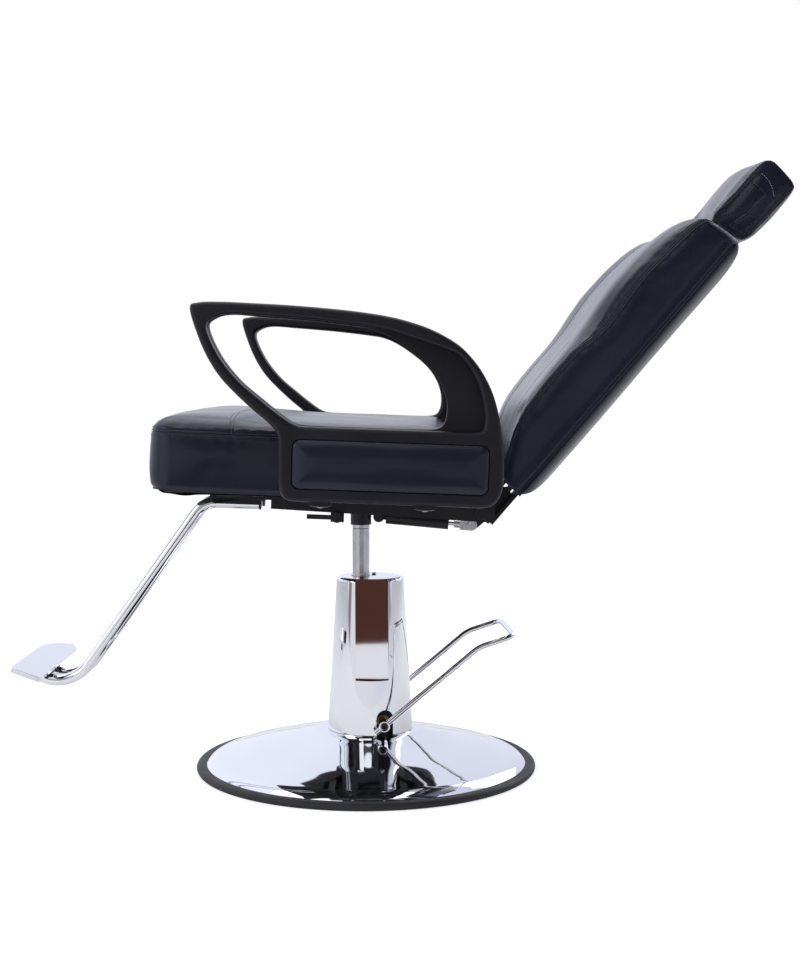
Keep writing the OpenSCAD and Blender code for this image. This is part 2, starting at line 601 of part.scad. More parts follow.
stud_x = [17, 35];
stud_y = 20;
module foot_bracket() color(steel) difference() {
    in_plate() {
        translate([8, -bracket_y, -sheet_t - bracket_t]) cube([36, 2 * bracket_y, bracket_t]);
        for (x = [26, 41]) translate([x, -bracket_y, -22]) cube([bracket_t, 2 * bracket_y, 20 - sheet_t]);
    }
    for (s = [-1, 1]) foot_route(s, foot_r);
    in_plate() for (x = stud_x, y = [-stud_y, stud_y]) translate([x, y, -20]) cylinder(h = 30, r = 3.2);
}
module foot_plate_studs() color(grey) in_plate() for (x = stud_x, y = [-stud_y, stud_y]) translate([x, y, 0]) {
    translate([0, 0, -13]) cylinder(h = 13 - sheet_t, r = 3);
    translate([0, 0, -sheet_t - bracket_t - 4]) cylinder(h = 4, r = 5.2, $fn = 6);
}

// ---------- back ----------
pin_r = 6;
pivot_half = side_y - 5;
bush_len = 25;
board_h = [10, 24];           // behind the hinge's plane
cover_h = 40;
seam_h = 24;
tang_y = 150;
tang_w = 44;
tang_t = 6;
strap_s = [62, 90];
tang_top = 210;
lever_t = 6;
back_foot = 54;
board_s = [75, back_len - 48];
board_edge = 25;              // the board's sides, in from the cushion's
sleeve = [back_len - 168, back_len + 5];
post_s = [back_len - 158, back_len + 62];
sleeve_r = post_d / 2 + 3;
half_back = back_w / 2;
// Height along the back of a place given as it is on a back that runs from 54 to 548
drawn_s = [54, 548];
function on_back(s) = lerp(back_foot, back_len, (s - drawn_s[0]) / (drawn_s[1] - drawn_s[0]));
function up_back(t) = [for (p = t) [on_back(p[0]), p[1]]];
// Depth of the seam at the cushion's sides and of the bolsters' crests, by height along the back
seam_line = up_back([[54, 2], [63, 9], [100, 31], [131, 48], [180, 54], [230, 55], [268, 54], [302, 48], [332, 45.5],
    [360, 47], [416, 50], [450, 47.6], [484, 45], [514, 42], [538, 34], [545, 18], [548, 2]]);
crest_line = up_back([[54, 2], [63, 9], [100, 31], [131, 52], [148, 61], [180, 66], [230, 68], [269, 68], [310, 71],
    [347, 76], [386, 78], [427, 76], [473, 69], [504, 60], [530, 47], [540, 34], [548, 4]]);
back_s = [for (s = [54, 63, 80, 100, 118, 131, 137, 150, 175, 210, 250, 290, 330, 370, 410, 445, 475, 500, 520, 535, 543, 548])
    on_back(s)];

function bolster(y) = let (a = abs(y) / half_back) a > 0.73 ? cos(90 * pow((a - 0.73) / 0.27, 1.6))
    : a > 0.56 ? 1 - 0.10 * ease((0.73 - a) / 0.17) * hollow / 10 : 1 - (0.10 + 0.06 * (a > 0.53 ? 1 : 0)) * hollow / 10;
function back_ring(s) = let (e = table(seam_line, s), c = table(crest_line, s), in = s > back_len - 16 ? 14 *
    pow((s - back_len + 16) / 16, 2) : 0) concat(
    [for (y = [1:-1/6:-1]) [seam_h, (half_back - in) * y, s]],
    [[seam_h - 12, -half_back + in, s], [lerp(seam_h, -e, 0.6), -half_back + in + 1, s]],
    [for (i = [0:26]) let (y = lerp(-1, 1, i / 26)) [-lerp(e, c, bolster(y * half_back)), (half_back - in) * y, s]],
    [[lerp(seam_h, -e, 0.6), half_back - in - 1, s], [seam_h - 12, half_back - in, s]]);

module back_frame() color(steel) in_back() difference() {
    union() {
        along_y(-pivot_half, pivot_half, pivot_r);
        for (s = [-1, 1]) translate([0, s * tang_y, 0]) {
            translate([board_h[1], -tang_w / 2, -8]) cube([tang_t, tang_w, tang_top + 8]);
            translate([-6, -3, -12]) cube([board_h[1] + 8, 6, 60]);
        }
        translate([board_h[1], -tang_y, strap_s[0]]) cube([tang_t, 2 * tang_y, strap_s[1] - strap_s[0]]);
        translate([0, lever_t / 2, 0]) rotate([90, 0, 0]) linear_extrude(lever_t)
            polygon([[-12, 0], [-12, 12], [board_h[1], back_foot - 6], [board_h[1], strap_s[0] + 4],
                [board_h[1] + tang_t, strap_s[0] + 4], [33, 50], [33, -22], [30, -40], [22, -48], [12, -44]]);
    }
    along_y(-pivot_half - 1, pivot_half + 1, pivot_r - 4);
    translate([-gas_b[1], 0, gas_b[0]]) along_y(-20, 20, gas_pin_r);
    for (s = [-1, 1], z = [120, 180]) translate([0, s * tang_y, z]) rotate([0, 90, 0]) cylinder(h = 60, r = 3);
}
// Rear pin of the gas spring in the back's frame, along and forward
gas_b = [(gas_c[0] - pivot_u) * sin(lean) + (gas_c[1] - pivot_w) * cos(lean),
    -(gas_c[0] - pivot_u) * cos(lean) + (gas_c[1] - pivot_w) * sin(lean)];

module hinge_bushes() color(brass) in_back() for (s = [-1, 1]) difference() {
    translate([0, s * (pivot_half - bush_len / 2), 0]) along_y(-bush_len / 2, bush_len / 2, pivot_r - 4);
    along_y(-300, 300, pin_r + run_fit);
}

module hinge_pins() color(grey) in_seat() translate([pivot_u, 0, pivot_w]) for (s = [-1, 1]) {
    translate([0, s * (side_y + side_t - 20), 0]) along_y(-20, 20, pin_r);
    translate([0, s * (side_y + side_t + 3), 0]) along_y(-3, 3, 11);
}

module back_board() color(wood) in_back() difference() {
    translate([board_h[0], -half_back + board_edge, board_s[0]])
        cube([board_h[1] - board_h[0], back_w - 2 * board_edge, board_s[1] - board_s[0]]);
    for (s = [-1, 1]) translate([0, s * tang_y, 0]) for (z = [120, 180]) translate([0, 0, z]) rotate([0, 90, 0])
        cylinder(h = 60, r = 3);
}

module back_cushion() color(leather) in_back() difference() {
    skin([for (s = back_s) back_ring(s)]);
    translate([board_h[0], -half_back + board_edge, board_s[0]]) cube([40, back_w - 2 * board_edge, board_s[1] - board_s[0]]);
    for (s = [-1, 1]) translate([0, s * post_gap / 2, sleeve[0]]) cylinder(h = 400, r = sleeve_r);
}

module back_cover() color(leather) in_back() difference() {
    skin([for (q = [[seam_h, 0], [32, 0], [36.5, 2.5], [39, 8], [cover_h, 22]])
        [for (p = round_rect(back_foot + q[1], back_len - 12 - q[1], -half_back + q[1], half_back - q[1], max(16 - q[1], 3), 4))
            [q[0], p[1], p[0]]]]);
    for (s = [-1, 1]) translate([seam_h - 1, s * tang_y - tang_w / 2, 0]) cube([tang_t + 1, tang_w, tang_top]);
    translate([seam_h - 1, -tang_y, 0]) cube([tang_t + 1, 2 * tang_y, strap_s[1]]);
    translate([seam_h - 1, -lever_t / 2 - gap, 0]) cube([11, lever_t + 2 * gap, strap_s[1]]);
}

module gas_rear_pin() color(grey) in_seat() translate([gas_c[0], 0, gas_c[1]]) {
    along_y(-clevis_y - 0.5, clevis_y + 0.5, gas_pin_r);
    for (s = [-1, 1]) translate([0, s * (clevis_y + 2.5), 0]) along_y(-2, 2, 8);
}

// ---------- headrest ----------
head_half = head_w / 2;
// Outline of the headrest seen from its end, [above the back's top, forward]
head_outline = spline([for (p = [[14, 35], [24, 41], [40, 44], [64, 43], [91, 40], [112, 36.5], [130, 29], [140, 18],
    [143, 2], [141, -22], [137, -40], [128, -47], [98, -47.5], [62, -46], [38, -43], [23, -36], [16, -24], [15, -4],
    [14, 16]]) [back_len + p[0], p[1]]], 2);

module headrest_sleeves() color(grey) in_back() for (s = [-1, 1]) translate([0, s * post_gap / 2, 0]) difference() {
    union() {
        translate([0, 0, sleeve[0]]) cylinder(h = sleeve[1] - sleeve[0], r = sleeve_r);
        translate([0, 0, sleeve[1] - 3]) cylinder(h = 3, r = sleeve_r + 3);
    }
    cylinder(h = 2 * back_len, r = post_d / 2 + run_fit);
}
module headrest_posts() color(chrome) in_back() for (s = [-1, 1]) translate([0, s * post_gap / 2, post_s[0]])
    cylinder(h = post_s[1] - post_s[0], r = post_d / 2);
module headrest_cushion() color(leather) in_back() difference() {
    skin([for (k = [0:10]) let (q = [[1, 7], [0.995, 3.5], [0.975, 1], [0.93, 0], [0.72, -1], [0, -1.5],
        [-0.72, -1], [-0.93, 0], [-0.975, 1], [-0.995, 3.5], [-1, 7]][k]) [for (p = inset(head_outline, q[1]))
        [-p[1], head_half * q[0], p[0]]]]);
    for (s = [-1, 1]) translate([0, s * post_gap / 2, post_s[0]]) cylinder(h = post_s[1] - post_s[0], r = post_d / 2);
}

// ---------- gas spring ----------
gas_r = gas_d / 2;
gas_len = norm(gas_c - gas_f);
gas_turn = atan2(gas_f[1] - gas_c[1], gas_c[0] - gas_f[0]);
cyl_end = 115;
clevis_y = 7;
clevis_in = 3.3;
clevis_r = 9;
module in_gas() in_seat() translate([gas_f[0], 0, gas_f[1]]) rotate([0, 90 + gas_turn, 0]) children();

module gas_cylinder() color(steel) in_gas() difference() {
    union() {
        along_y(-ear_y + gap, ear_y - gap, 8);
        cylinder(h = 14, r = 5);
        translate([0, 0, 12]) cylinder(h = cyl_end - 12, r = gas_r);
    }
    along_y(-20, 20, gas_pin_r + run_fit);
    translate([0, 0, 18]) cylinder(h = cyl_end - 24, r = gas_r - 1.5);
    cylinder(h = 200, r = gas_rod_d / 2 + run_fit);
}
module gas_rod() color(chrome) in_gas() {
    translate([0, 0, 56]) cylinder(h = 74, r = gas_rod_d / 2);
    translate([0, 0, 56]) cylinder(h = 8, r = gas_r - 1.5 - run_fit);
}
module gas_clevis() color(grey) in_gas() difference() {
    union() {
        translate([0, 0, 124]) cylinder(h = 14, r = 7);
        hull_free_ear();
    }
    translate([-20, -clevis_in, 138]) cube([40, 2 * clevis_in, 60]);
    translate([0, 0, gas_len]) along_y(-20, 20, gas_pin_r + 1.6);
    translate([0, 0, 100]) cylinder(h = 30, r = gas_rod_d / 2);
}
module hull_free_ear() {
    translate([-clevis_r, -clevis_y, 134]) cube([2 * clevis_r, 2 * clevis_y, gas_len - 134]);
    translate([0, 0, gas_len]) along_y(-clevis_y, clevis_y, clevis_r);
}
module gas_front_pin() color(grey) in_seat() translate([gas_f[0], 0, gas_f[1]]) {
    along_y(-ear_y - ear_t, ear_y + ear_t, gas_pin_r);
    for (s = [-1, 1]) translate([0, s * (ear_y + ear_t + 1.5), 0]) along_y(-1.5, 1.5, 6.5);
}

// ---------- release lever ----------
rel_end = side_y + side_t + 14;
module release_shaft() color(steel) in_seat() translate([rel_u, 0, rel_w]) {
    along_y(-rel_end, -22, rel_r);
    translate([-5, -26, -4]) cube([50, 4, 8]);
    translate([43, -26, -4]) cube([6, 14, 8]);
}
module release_blade() color(grey) in_seat() translate([rel_u, -rel_end, rel_w]) difference() {
    union() {
        along_y(0, 6, 8);
        translate([-45, 1, -3.5]) cube([45, 3, 7]);
    }
    along_y(-1, 8, rel_r);
}

// ---------- pedal ----------
rod_r = rod_d / 2;
arm_half = pedal_w / 2;
hub_r = 9;
pedal_rise = 39.5;
pedal_flat = 17.5;
pedal_end = 60;
corner_r = 16;
rod_bend = 60;
cam_len = 13;
cam_r = 4;
plunger_x = shaft_x - cam_len;
plunger_r = 4;
pedal_bend = pedal_rise - pedal_flat;
pedal_run = (pedal_reach - pedal_end * cos(pedal_flat)) / cos(pedal_rise);

module in_pedal() in_base() translate([shaft_x, 0, shaft_z]) children();
module pedal_bar() color(chrome) in_pedal() difference() {
    for (s = [-1, 1]) translate([0, s * arm_half, 0]) rotate([0, 90 - pedal_rise, 0]) {
        translate([0, 0, -18]) cylinder(h = 19, r = rod_r);
        straight(pedal_run - rod_bend * tan(pedal_bend / 2), rod_r) curve(rod_bend, pedal_bend, rod_r)
            straight(pedal_end - rod_bend * tan(pedal_bend / 2) - corner_r, rod_r)
            rotate(-90 * s) curve(corner_r, 90, rod_r) cylinder(h = arm_half - corner_r, r = rod_r);
    }
    for (s = [-1, 1]) along_y(s * arm_half - 40, s * arm_half + 40, hub_r);
}
module pedal_hubs() color(chrome) in_pedal() for (s = [-1, 1]) difference() {
    translate([0, s * arm_half, 0]) along_y(-8, 8, hub_r);
    along_y(-200, 200, shaft_r);
}
module pedal_shaft() color(grey) in_pedal() {
    difference() {
        along_y(-arm_half - 4, arm_half + 4, shaft_r);
        for (s = [-1, 1]) translate([0, s * (arm_half - 2), 0]) along_y(-8, 8, 3);
    }
    translate([0, 6, 0]) rotate([90, 0, 0]) linear_extrude(12) difference() {
        union() {
            translate([-cam_len, 0]) circle(cam_r);
            polygon([[-cam_len, -cam_r], [-cam_len, cam_r], [plunger_r + 1 - cam_len, cam_r], [-shaft_r * 0.2, shaft_r * 0.98],
                [0, 0], [-shaft_r * 0.2, -shaft_r * 0.98]]);
        }
        circle(2);
    }
}
module pedal_screws() color(steel) in_pedal() for (s = [-1, 1]) translate([0, s * (arm_half + 4), 0])
    rotate([-90 * s, 0, 0]) difference() {
        union() {
            translate([0, 0, -14]) cylinder(h = 14, r = 3);
            cylinder(h = 3.5, r = 5.5);
        }
        translate([0, 0, 1]) cylinder(h = 4, r = 2.9, $fn = 6);
    }
module plunger() color(grey) in_base() translate([plunger_x, 0, shaft_z + cam_r + gap]) cylinder(h = 34, r = plunger_r);

base_ring();
base_dome();
base_plate();
base_bolts();
pump_body();
pump_cover();
cover_screw();
gland_nut();
ram_seal();
shaft_bushes();
ram();
piston_ring();
spindle();
swivel_hub();
hub_bolts();
seat_frame();
cross_tubes();
side_plate_left();
side_plate_right();
seat_board();
seat_cushion();
dust_cover();
arm_left();
arm_right();
panel_left();
panel_right();
arm_bolts();
footrest_bracket();
bracket_bolts();
footrest_tube_left();
footrest_tube_right();
tube_plugs();
foot_bracket();
foot_plate();
foot_plate_studs();
hinge_pins();
gas_front_pin();
back_frame();
hinge_bushes();
back_board();
back_cushion();
back_cover();
gas_rear_pin();
headrest_sleeves();
headrest_cushion();
headrest_posts();
pedal_bar();
pedal_hubs();
pedal_shaft();
pedal_screws();
plunger();
gas_cylinder();
gas_rod();
gas_clevis();
release_shaft();
release_blade();
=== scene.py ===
import json
from math import ceil, cos, pi, radians, sin, tan

import bmesh
import bpy
import numpy as np
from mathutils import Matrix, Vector
from mathutils.bvhtree import BVHTree
from mathutils.geometry import tessellate_polygon
from mathutils.kdtree import KDTree


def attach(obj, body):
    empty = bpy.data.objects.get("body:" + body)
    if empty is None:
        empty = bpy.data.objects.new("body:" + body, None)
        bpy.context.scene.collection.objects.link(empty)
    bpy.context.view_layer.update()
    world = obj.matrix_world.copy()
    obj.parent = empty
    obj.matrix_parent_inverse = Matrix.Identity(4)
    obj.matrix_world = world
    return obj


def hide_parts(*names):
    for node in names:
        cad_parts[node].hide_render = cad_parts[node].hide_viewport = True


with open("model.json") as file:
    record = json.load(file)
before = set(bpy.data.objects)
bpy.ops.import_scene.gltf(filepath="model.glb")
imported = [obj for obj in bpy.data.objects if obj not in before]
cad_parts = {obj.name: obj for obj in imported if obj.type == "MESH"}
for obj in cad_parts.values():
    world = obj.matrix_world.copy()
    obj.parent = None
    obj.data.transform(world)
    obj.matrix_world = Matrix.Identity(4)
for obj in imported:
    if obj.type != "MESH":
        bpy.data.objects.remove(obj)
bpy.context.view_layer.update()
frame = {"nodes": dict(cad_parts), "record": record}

scene = bpy.context.scene
nodes = frame["nodes"]
slotOf = {part["node"]: part["material_slot"] for part in frame["record"]["subparts"]}
bodyOf = {node: body for body, members in frame["record"]["behaviour"]["bodies"].items() for node in members}


# Points are worked out in millimetres in the frame of the seat, the back or the base. Angles are in degrees.
chair = {"height": 430.0, "tilt": 2.0, "hinge": (190, 0, 22), "lean": 38.5, "baseTurn": 5.0}


def aboutY(degrees):
    c, s = cos(radians(degrees)), sin(radians(degrees))
    return np.array([[c, 0, s], [0, 1, 0], [-s, 0, c]])


def aboutZ(degrees):
    c, s = cos(radians(degrees)), sin(radians(degrees))
    return np.array([[c, -s, 0], [s, c, 0], [0, 0, 1]])


# Turns and shifts points out of their own frame and makes them metres
def placedBy(turn, shift):
    return lambda points: (np.asarray(points, float) @ turn.T + shift) * 0.001


seatTurn, baseTurn = aboutY(chair["tilt"]), aboutZ(chair["baseTurn"])
seatShift = np.array([0, 0, chair["height"]])
inSeat = placedBy(seatTurn, seatShift)
inBack = placedBy(aboutY(chair["tilt"] + chair["lean"]), seatTurn @ chair["hinge"] + seatShift)
inBase = placedBy(baseTurn, np.zeros(3))

# Camera and studio. A lamp has its power, size, place and target. A patch of the room has its two sides in
# radians round the chair, their softness and its tone.
studio = {
    "camera": (0.097, -2.62, 0.66), "turn": (85.7, 0, 0.715), "lens": 58.96,
    "ambient": 0.56,          # light of the world on rough surfaces
    "lamps": {"ceilingLamp": (32, 2.6, (-0.3, 0.3, 2.9), (0, 0, 0.4)),
              "sideLamp": (12, 1.6, (-2.4, -1.6, 1.7), (0, 0, 0.5)),
              "frontLamp": (12, 1.8, (-0.5, -2.2, 2.7), (0, 0, 0.5)),
              "backLamp": (16, 1.8, (1.9, 1.9, 1.9), (0.2, 0, 0.5))},
    "floorX": (-9, 9), "floorY": (-1.26, 14),
    "floorColor": (0.80, 0.80, 0.815), "floorPale": (0.93, 0.94, 1.0),
    "floorGlow": 0.66,        # its own light as the camera sees it
    "floorSeen": 0.12,        # and as polished pieces see it
    "backLeft": (1.0, 1.03, 1.16), "backRight": (0.73, 0.755, 0.87),
    "open": (0.84, 0.84, 0.87), "high": (0.008, 0.008, 0.010),
    "cupboard": (-0.35, 0.72, 0.02, (0.077, 0.031, 0.021)), "corner": (0.78, 1.30, 0.05, (0.34, 0.32, 0.37)),
    "strip": (1.66, 1.90, 0.05, (0.52, 0.30, 0.30)), "post": (-1.30, -1.10, 0.04, (0.26, 0.24, 0.27)),
}
scene.view_settings.view_transform = "Standard"


def addItem(name, data):
    item = bpy.data.objects.new(name, data)
    scene.collection.objects.link(item)
    return item


camera = addItem("camera", bpy.data.cameras.new("camera"))
camera.location = studio["camera"]
camera.rotation_euler = [radians(v) for v in studio["turn"]]
camera.data.lens, camera.data.sensor_width, camera.data.clip_end = studio["lens"], 36, 60
scene.camera = camera


def addNode(tree, kind, options=None, **inputs):
    node = tree.nodes.new("ShaderNode" + kind)
    for key, value in (options or {}).items():
        setattr(node, key, value)
    for key, value in inputs.items():
        socket = node.inputs[int(key[2:])] if key[:2] == "at" else node.inputs[key.replace("_", " ")]
        if isinstance(value, bpy.types.NodeSocket):
            tree.links.new(value, socket)
        else:
            socket.default_value = value
    return node


def math(tree, operation, *values):
    inputs = {f"at{i}": value for i, value in enumerate(values)}
    return addNode(tree, "Math", {"operation": operation}, **inputs).outputs[0]


def buildWorld():
    world = bpy.data.worlds.new("studio")
    world.use_nodes = True
    tree = world.node_tree
    tree.nodes.clear()
    way = addNode(tree, "TexCoord").outputs["Generated"]
    x, y, z = addNode(tree, "SeparateXYZ", Vector=way).outputs
    path = addNode(tree, "LightPath").outputs

    def step(value, start, end):
        return addNode(tree, "MapRange", {"interpolation_type": "SMOOTHSTEP"},
                       Value=value, From_Min=start, From_Max=end).outputs[0]

    def mixed(share, first, second):
        node = addNode(tree, "Mix", {"data_type": "RGBA"}, at0=share)
        for socket, value in ((node.inputs[6], first), (node.inputs[7], second)):
            if isinstance(value, tuple):
                socket.default_value = (*value, 1)
            else:
                tree.links.new(value, socket)
        return node.outputs[2]

    def patched(under, name, share):
        start, end, soft, tone = studio[name]
        opening, closing = step(turn, start - soft, start + soft), step(turn, end + soft, end - soft)
        across = math(tree, "MULTIPLY", opening, closing)
        return mixed(math(tree, "MULTIPLY", across, share), under, tone)

    # Polished pieces see a pale wall behind the chair, and before it the open room, which is dark above
    turn = math(tree, "ARCTAN2", x, math(tree, "MULTIPLY", y, -1.0))
    wall = mixed(step(x, -0.6, 0.6), studio["backLeft"], studio["backRight"])
    room = mixed(step(x, -0.3, 0.9), studio["open"], studio["backRight"])
    room = patched(room, "corner", step(z, -0.068, -0.052))
    room = patched(room, "cupboard", math(tree, "MAXIMUM", step(z, 0.02, 0.05), step(z, -0.105, -0.125)))
    room = mixed(step(z, 0.34, 0.42), room, studio["high"])
    tone = mixed(step(y, -0.10, 0.06), room, wall)
    level = math(tree, "MULTIPLY", step(z, -0.100, -0.075), step(z, 0.30, 0.20))
    tone = patched(patched(tone, "strip", level), "post", level)
    sharp = addNode(tree, "Background", Color=tone, Strength=1.0).outputs[0]
    white = addNode(tree, "Background", Color=(1, 1, 1, 1), Strength=1.0).outputs[0]
    soft = addNode(tree, "Background", Color=(0.97, 0.975, 1, 1), Strength=studio["ambient"]).outputs[0]
    glossy = addNode(tree, "MixShader", Fac=path["Is Glossy Ray"], at1=soft, at2=sharp).outputs[0]
    clear = addNode(tree, "MixShader", Fac=path["Is Transmission Ray"], at1=glossy, at2=white).outputs[0]
    seen = addNode(tree, "MixShader", Fac=path["Is Camera Ray"], at1=clear, at2=white).outputs[0]
    addNode(tree, "OutputWorld", Surface=seen)
    scene.world = world


def addLamp(name, power, size, location, target):
    lamp = bpy.data.lights.new(name, "AREA")
    lamp.energy, lamp.size, lamp.shape = power, size, "SQUARE"
    item = addItem(name, lamp)
    item.location = location
    item.rotation_euler = (Vector(target) - Vector(location)).to_track_quat("-Z", "Y").to_euler()


# Each face set holds faces with the same number of corners
def fillMesh(mesh, points, faceSets):
    faceSets = faceSets if isinstance(faceSets, list) else [faceSets]
    points = np.ascontiguousarray(points, np.float32)
    corners = np.concatenate([f.ravel() for f in faceSets]).astype(np.int32)
    sizes = np.concatenate([np.full(len(f), f.shape[1]) for f in faceSets])
    mesh.vertices.add(len(points))
    mesh.vertices.foreach_set("co", points.ravel())
    mesh.loops.add(len(corners))
    mesh.loops.foreach_set("vertex_index", corners)
    mesh.polygons.add(len(sizes))
    mesh.polygons.foreach_set("loop_start", np.concatenate([[0], np.cumsum(sizes)[:-1]]).astype(np.int32))
    mesh.update(calc_edges=True)
    mesh.validate()


# A piece of a mesh, smooth but for edges sharper than an angle
def addPiece(name, mesh, material, sharp=None):
    mesh.shade_smooth()
    if sharp:
        mesh.set_sharp_from_angle(angle=radians(sharp))
    mesh.materials.append(material)
    return addItem(name, mesh)


def tellFrame(piece, body, hides=()):
    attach(piece, body)
    if hides:
        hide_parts(*hides)


def makePiece(name, points, faceSets, material, body, hides=(), sharp=None):
    mesh = bpy.data.meshes.new(name)
    fillMesh(mesh, points, faceSets)
    piece = addPiece(name, mesh, material, sharp)
    tellFrame(piece, body, hides)
    return piece


def blankMaterial(name):
    material = bpy.data.materials.new(name)
    material.use_nodes = True
    material.node_tree.nodes.clear()
    return material, material.node_tree


def buildFloor():
    (x0, x1), (y0, y1) = studio["floorX"], studio["floorY"]
    mesh = bpy.data.meshes.new("floor")
    corners = np.array([[x0, y0, 0], [x1, y0, 0], [x1, y1, 0], [x0, y1, 0]])
    fillMesh(mesh, corners, np.array([[0, 1, 2, 3]]))
    material, tree = blankMaterial("paleFloor")
    path = addNode(tree, "LightPath").outputs
    place = addNode(tree, "TexCoord").outputs["Object"]
    clouds = addNode(tree, "TexNoise", Vector=place, Scale=1.5).outputs["Fac"]
    uneven = addNode(tree, "MapRange", Value=clouds, To_Min=0.99, To_Max=1.0).outputs[0]
    mirrored = math(tree, "MAXIMUM", path["Is Glossy Ray"], path["Is Transmission Ray"])
    light = math(tree, "ADD", math(tree, "MULTIPLY", path["Is Camera Ray"], studio["floorGlow"]),
                 math(tree, "MULTIPLY", mirrored, studio["floorSeen"]))
    strength = math(tree, "MULTIPLY", light, uneven)
    glow = addNode(tree, "Emission", Color=(*studio["floorPale"], 1), Strength=strength)
    plain = addNode(tree, "BsdfDiffuse", Color=(*studio["floorColor"], 1))
    both = addNode(tree, "AddShader", at0=plain.outputs[0], at1=glow.outputs[0])
    addNode(tree, "OutputMaterial", Surface=both.outputs[0])
    mesh.materials.append(material)
    addItem("floor", mesh)


buildWorld()
buildFloor()
for name, (power, size, place, target) in studio["lamps"].items():
    addLamp(name, power, size, place, target)
print("studio ready")


# Materials. Sizes in a pattern are repeats to the metre, heights are metres.
def makeMaterial(name, low, high, patch, rough, bumps=(), **fixed):
    material, tree = blankMaterial(name)
    place = addNode(tree, "TexCoord").outputs["Object"]
    clouds = addNode(tree, "TexNoise", Vector=place, Scale=patch, Detail=3.0).outputs["Fac"]
    ramp = addNode(tree, "ValToRGB", Fac=clouds)
    for stop, at, tone in zip(ramp.color_ramp.elements, (0.36, 0.64), (low, high)):
        stop.position, stop.color = at, (*tone, 1)
    uneven = addNode(tree, "MapRange", Value=clouds, From_Min=0.3, From_Max=0.7,
                     To_Min=rough[0], To_Max=rough[1]).outputs[0]
    shader = addNode(tree, "BsdfPrincipled", Base_Color=ramp.outputs[0], Roughness=uneven, **fixed)
    normal = None
    for kind, scale, height, strength in bumps:
        if kind == "cells":
            cells = addNode(tree, "TexVoronoi", {"feature": "SMOOTH_F1"}, Vector=place, Scale=scale)
            field = cells.outputs["Distance"]
        elif kind == "weave":
            waves = [addNode(tree, "TexWave", {"bands_direction": way}, Vector=place, Scale=scale)
                     for way in "XY"]
            field = math(tree, "MAXIMUM", *[wave.outputs["Fac"] for wave in waves])
        elif kind == "drawn":
            stretched = addNode(tree, "Mapping", Vector=place, Scale=(1.0, 1.0, 0.03)).outputs[0]
            field = addNode(tree, "TexNoise", Vector=stretched, Scale=scale, Detail=4.0).outputs["Fac"]
        else:
            grain = addNode(tree, "TexNoise", Vector=place, Scale=scale, Detail=4.0, Distortion=0.4)
            field = grain.outputs["Fac"]
        bump = addNode(tree, "Bump", Height=field, Distance=height, Strength=strength)
        if normal:
            tree.links.new(normal, bump.inputs["Normal"])
        normal = bump.outputs[0]
    if normal:
        tree.links.new(normal, shader.inputs["Normal"])
    addNode(tree, "OutputMaterial", Surface=shader.outputs[0])
    return material


leather = makeMaterial("leather", (0.0066, 0.0086, 0.0225), (0.0086, 0.0110, 0.0280), 9, (0.34, 0.44),
                       [("noise", 26, 0.004, 0.10), ("cells", 620, 0.00020, 0.36),
                        ("noise", 1900, 0.0001, 0.25)],
                       IOR=1.30, Coat_Weight=0.62, Coat_Roughness=0.22, Coat_IOR=1.36)
thread = makeMaterial("thread", (0.016, 0.017, 0.026), (0.030, 0.031, 0.044), 900, (0.42, 0.55),
                      [("noise", 3000, 0.0002, 0.5)])
paleThread = makeMaterial("paleThread", (0.42, 0.42, 0.47), (0.55, 0.55, 0.60), 900, (0.42, 0.55),
                          [("noise", 3000, 0.0002, 0.5)])
plastic = makeMaterial("mouldedPlastic", (0.0062, 0.0066, 0.0125), (0.0088, 0.0090, 0.0160), 14, (0.38, 0.46),
                       [("noise", 1500, 0.00018, 0.5), ("noise", 5200, 0.00005, 0.4)], IOR=1.38)
chrome = makeMaterial("chrome", (0.80, 0.81, 0.85), (0.83, 0.84, 0.88), 5, (0.03, 0.05),
                      [("noise", 7, 0.002, 0.012)], Metallic=1.0)
satinChrome = makeMaterial("groundChrome", (0.46, 0.46, 0.49), (0.54, 0.54, 0.57), 60, (0.16, 0.22),
                           [("drawn", 900, 0.00004, 0.3)], Metallic=1.0)
blackSteel = makeMaterial("blackSteel", (0.0055, 0.0057, 0.0080), (0.0090, 0.0092, 0.0125), 45, (0.34, 0.46),
                          [("noise", 1300, 0.0002, 0.35)], IOR=1.42)
zinc = makeMaterial("zinc", (0.50, 0.51, 0.53), (0.62, 0.63, 0.65), 130, (0.22, 0.34),
                    [("noise", 900, 0.0001, 0.3)], Metallic=1.0)
rubber = makeMaterial("rubber", (0.0170, 0.0165, 0.0215), (0.0240, 0.0235, 0.0290), 30, (0.5, 0.62),
                      [("noise", 700, 0.0003, 0.35)])
bronze = makeMaterial("bronze", (0.30, 0.20, 0.09), (0.40, 0.28, 0.14), 90, (0.3, 0.42),
                      [("noise", 800, 0.0001, 0.3)], Metallic=1.0)
plywood = makeMaterial("plywood", (0.48, 0.34, 0.19), (0.60, 0.45, 0.27), 22, (0.6, 0.75),
                       [("drawn", 300, 0.0004, 0.4)])
lining = makeMaterial("lining", (0.008, 0.008, 0.010), (0.014, 0.014, 0.017), 50, (0.75, 0.9),
                      [("weave", 420, 0.0003, 0.5), ("noise", 900, 0.0002, 0.4)])
finishOf = {"leather": leather, "plastic": plastic, "chrome": chrome, "black_steel": blackSteel,
            "zinc": zinc, "rubber": rubber, "bronze": bronze, "plywood": plywood, "lining": lining}
for name, node in nodes.items():
    node.data.materials.clear()
    node.data.materials.append(finishOf[slotOf[name]])
print("materials ready")


# x kept between 0 and 1
def clamped(x):
    return np.clip(x, 0, 1)


# e to the power of minus (x over width) squared: 1 at 0, and nearly 0 from two widths on
def hump(x, width):
    return np.exp(-(x / width) ** 2)


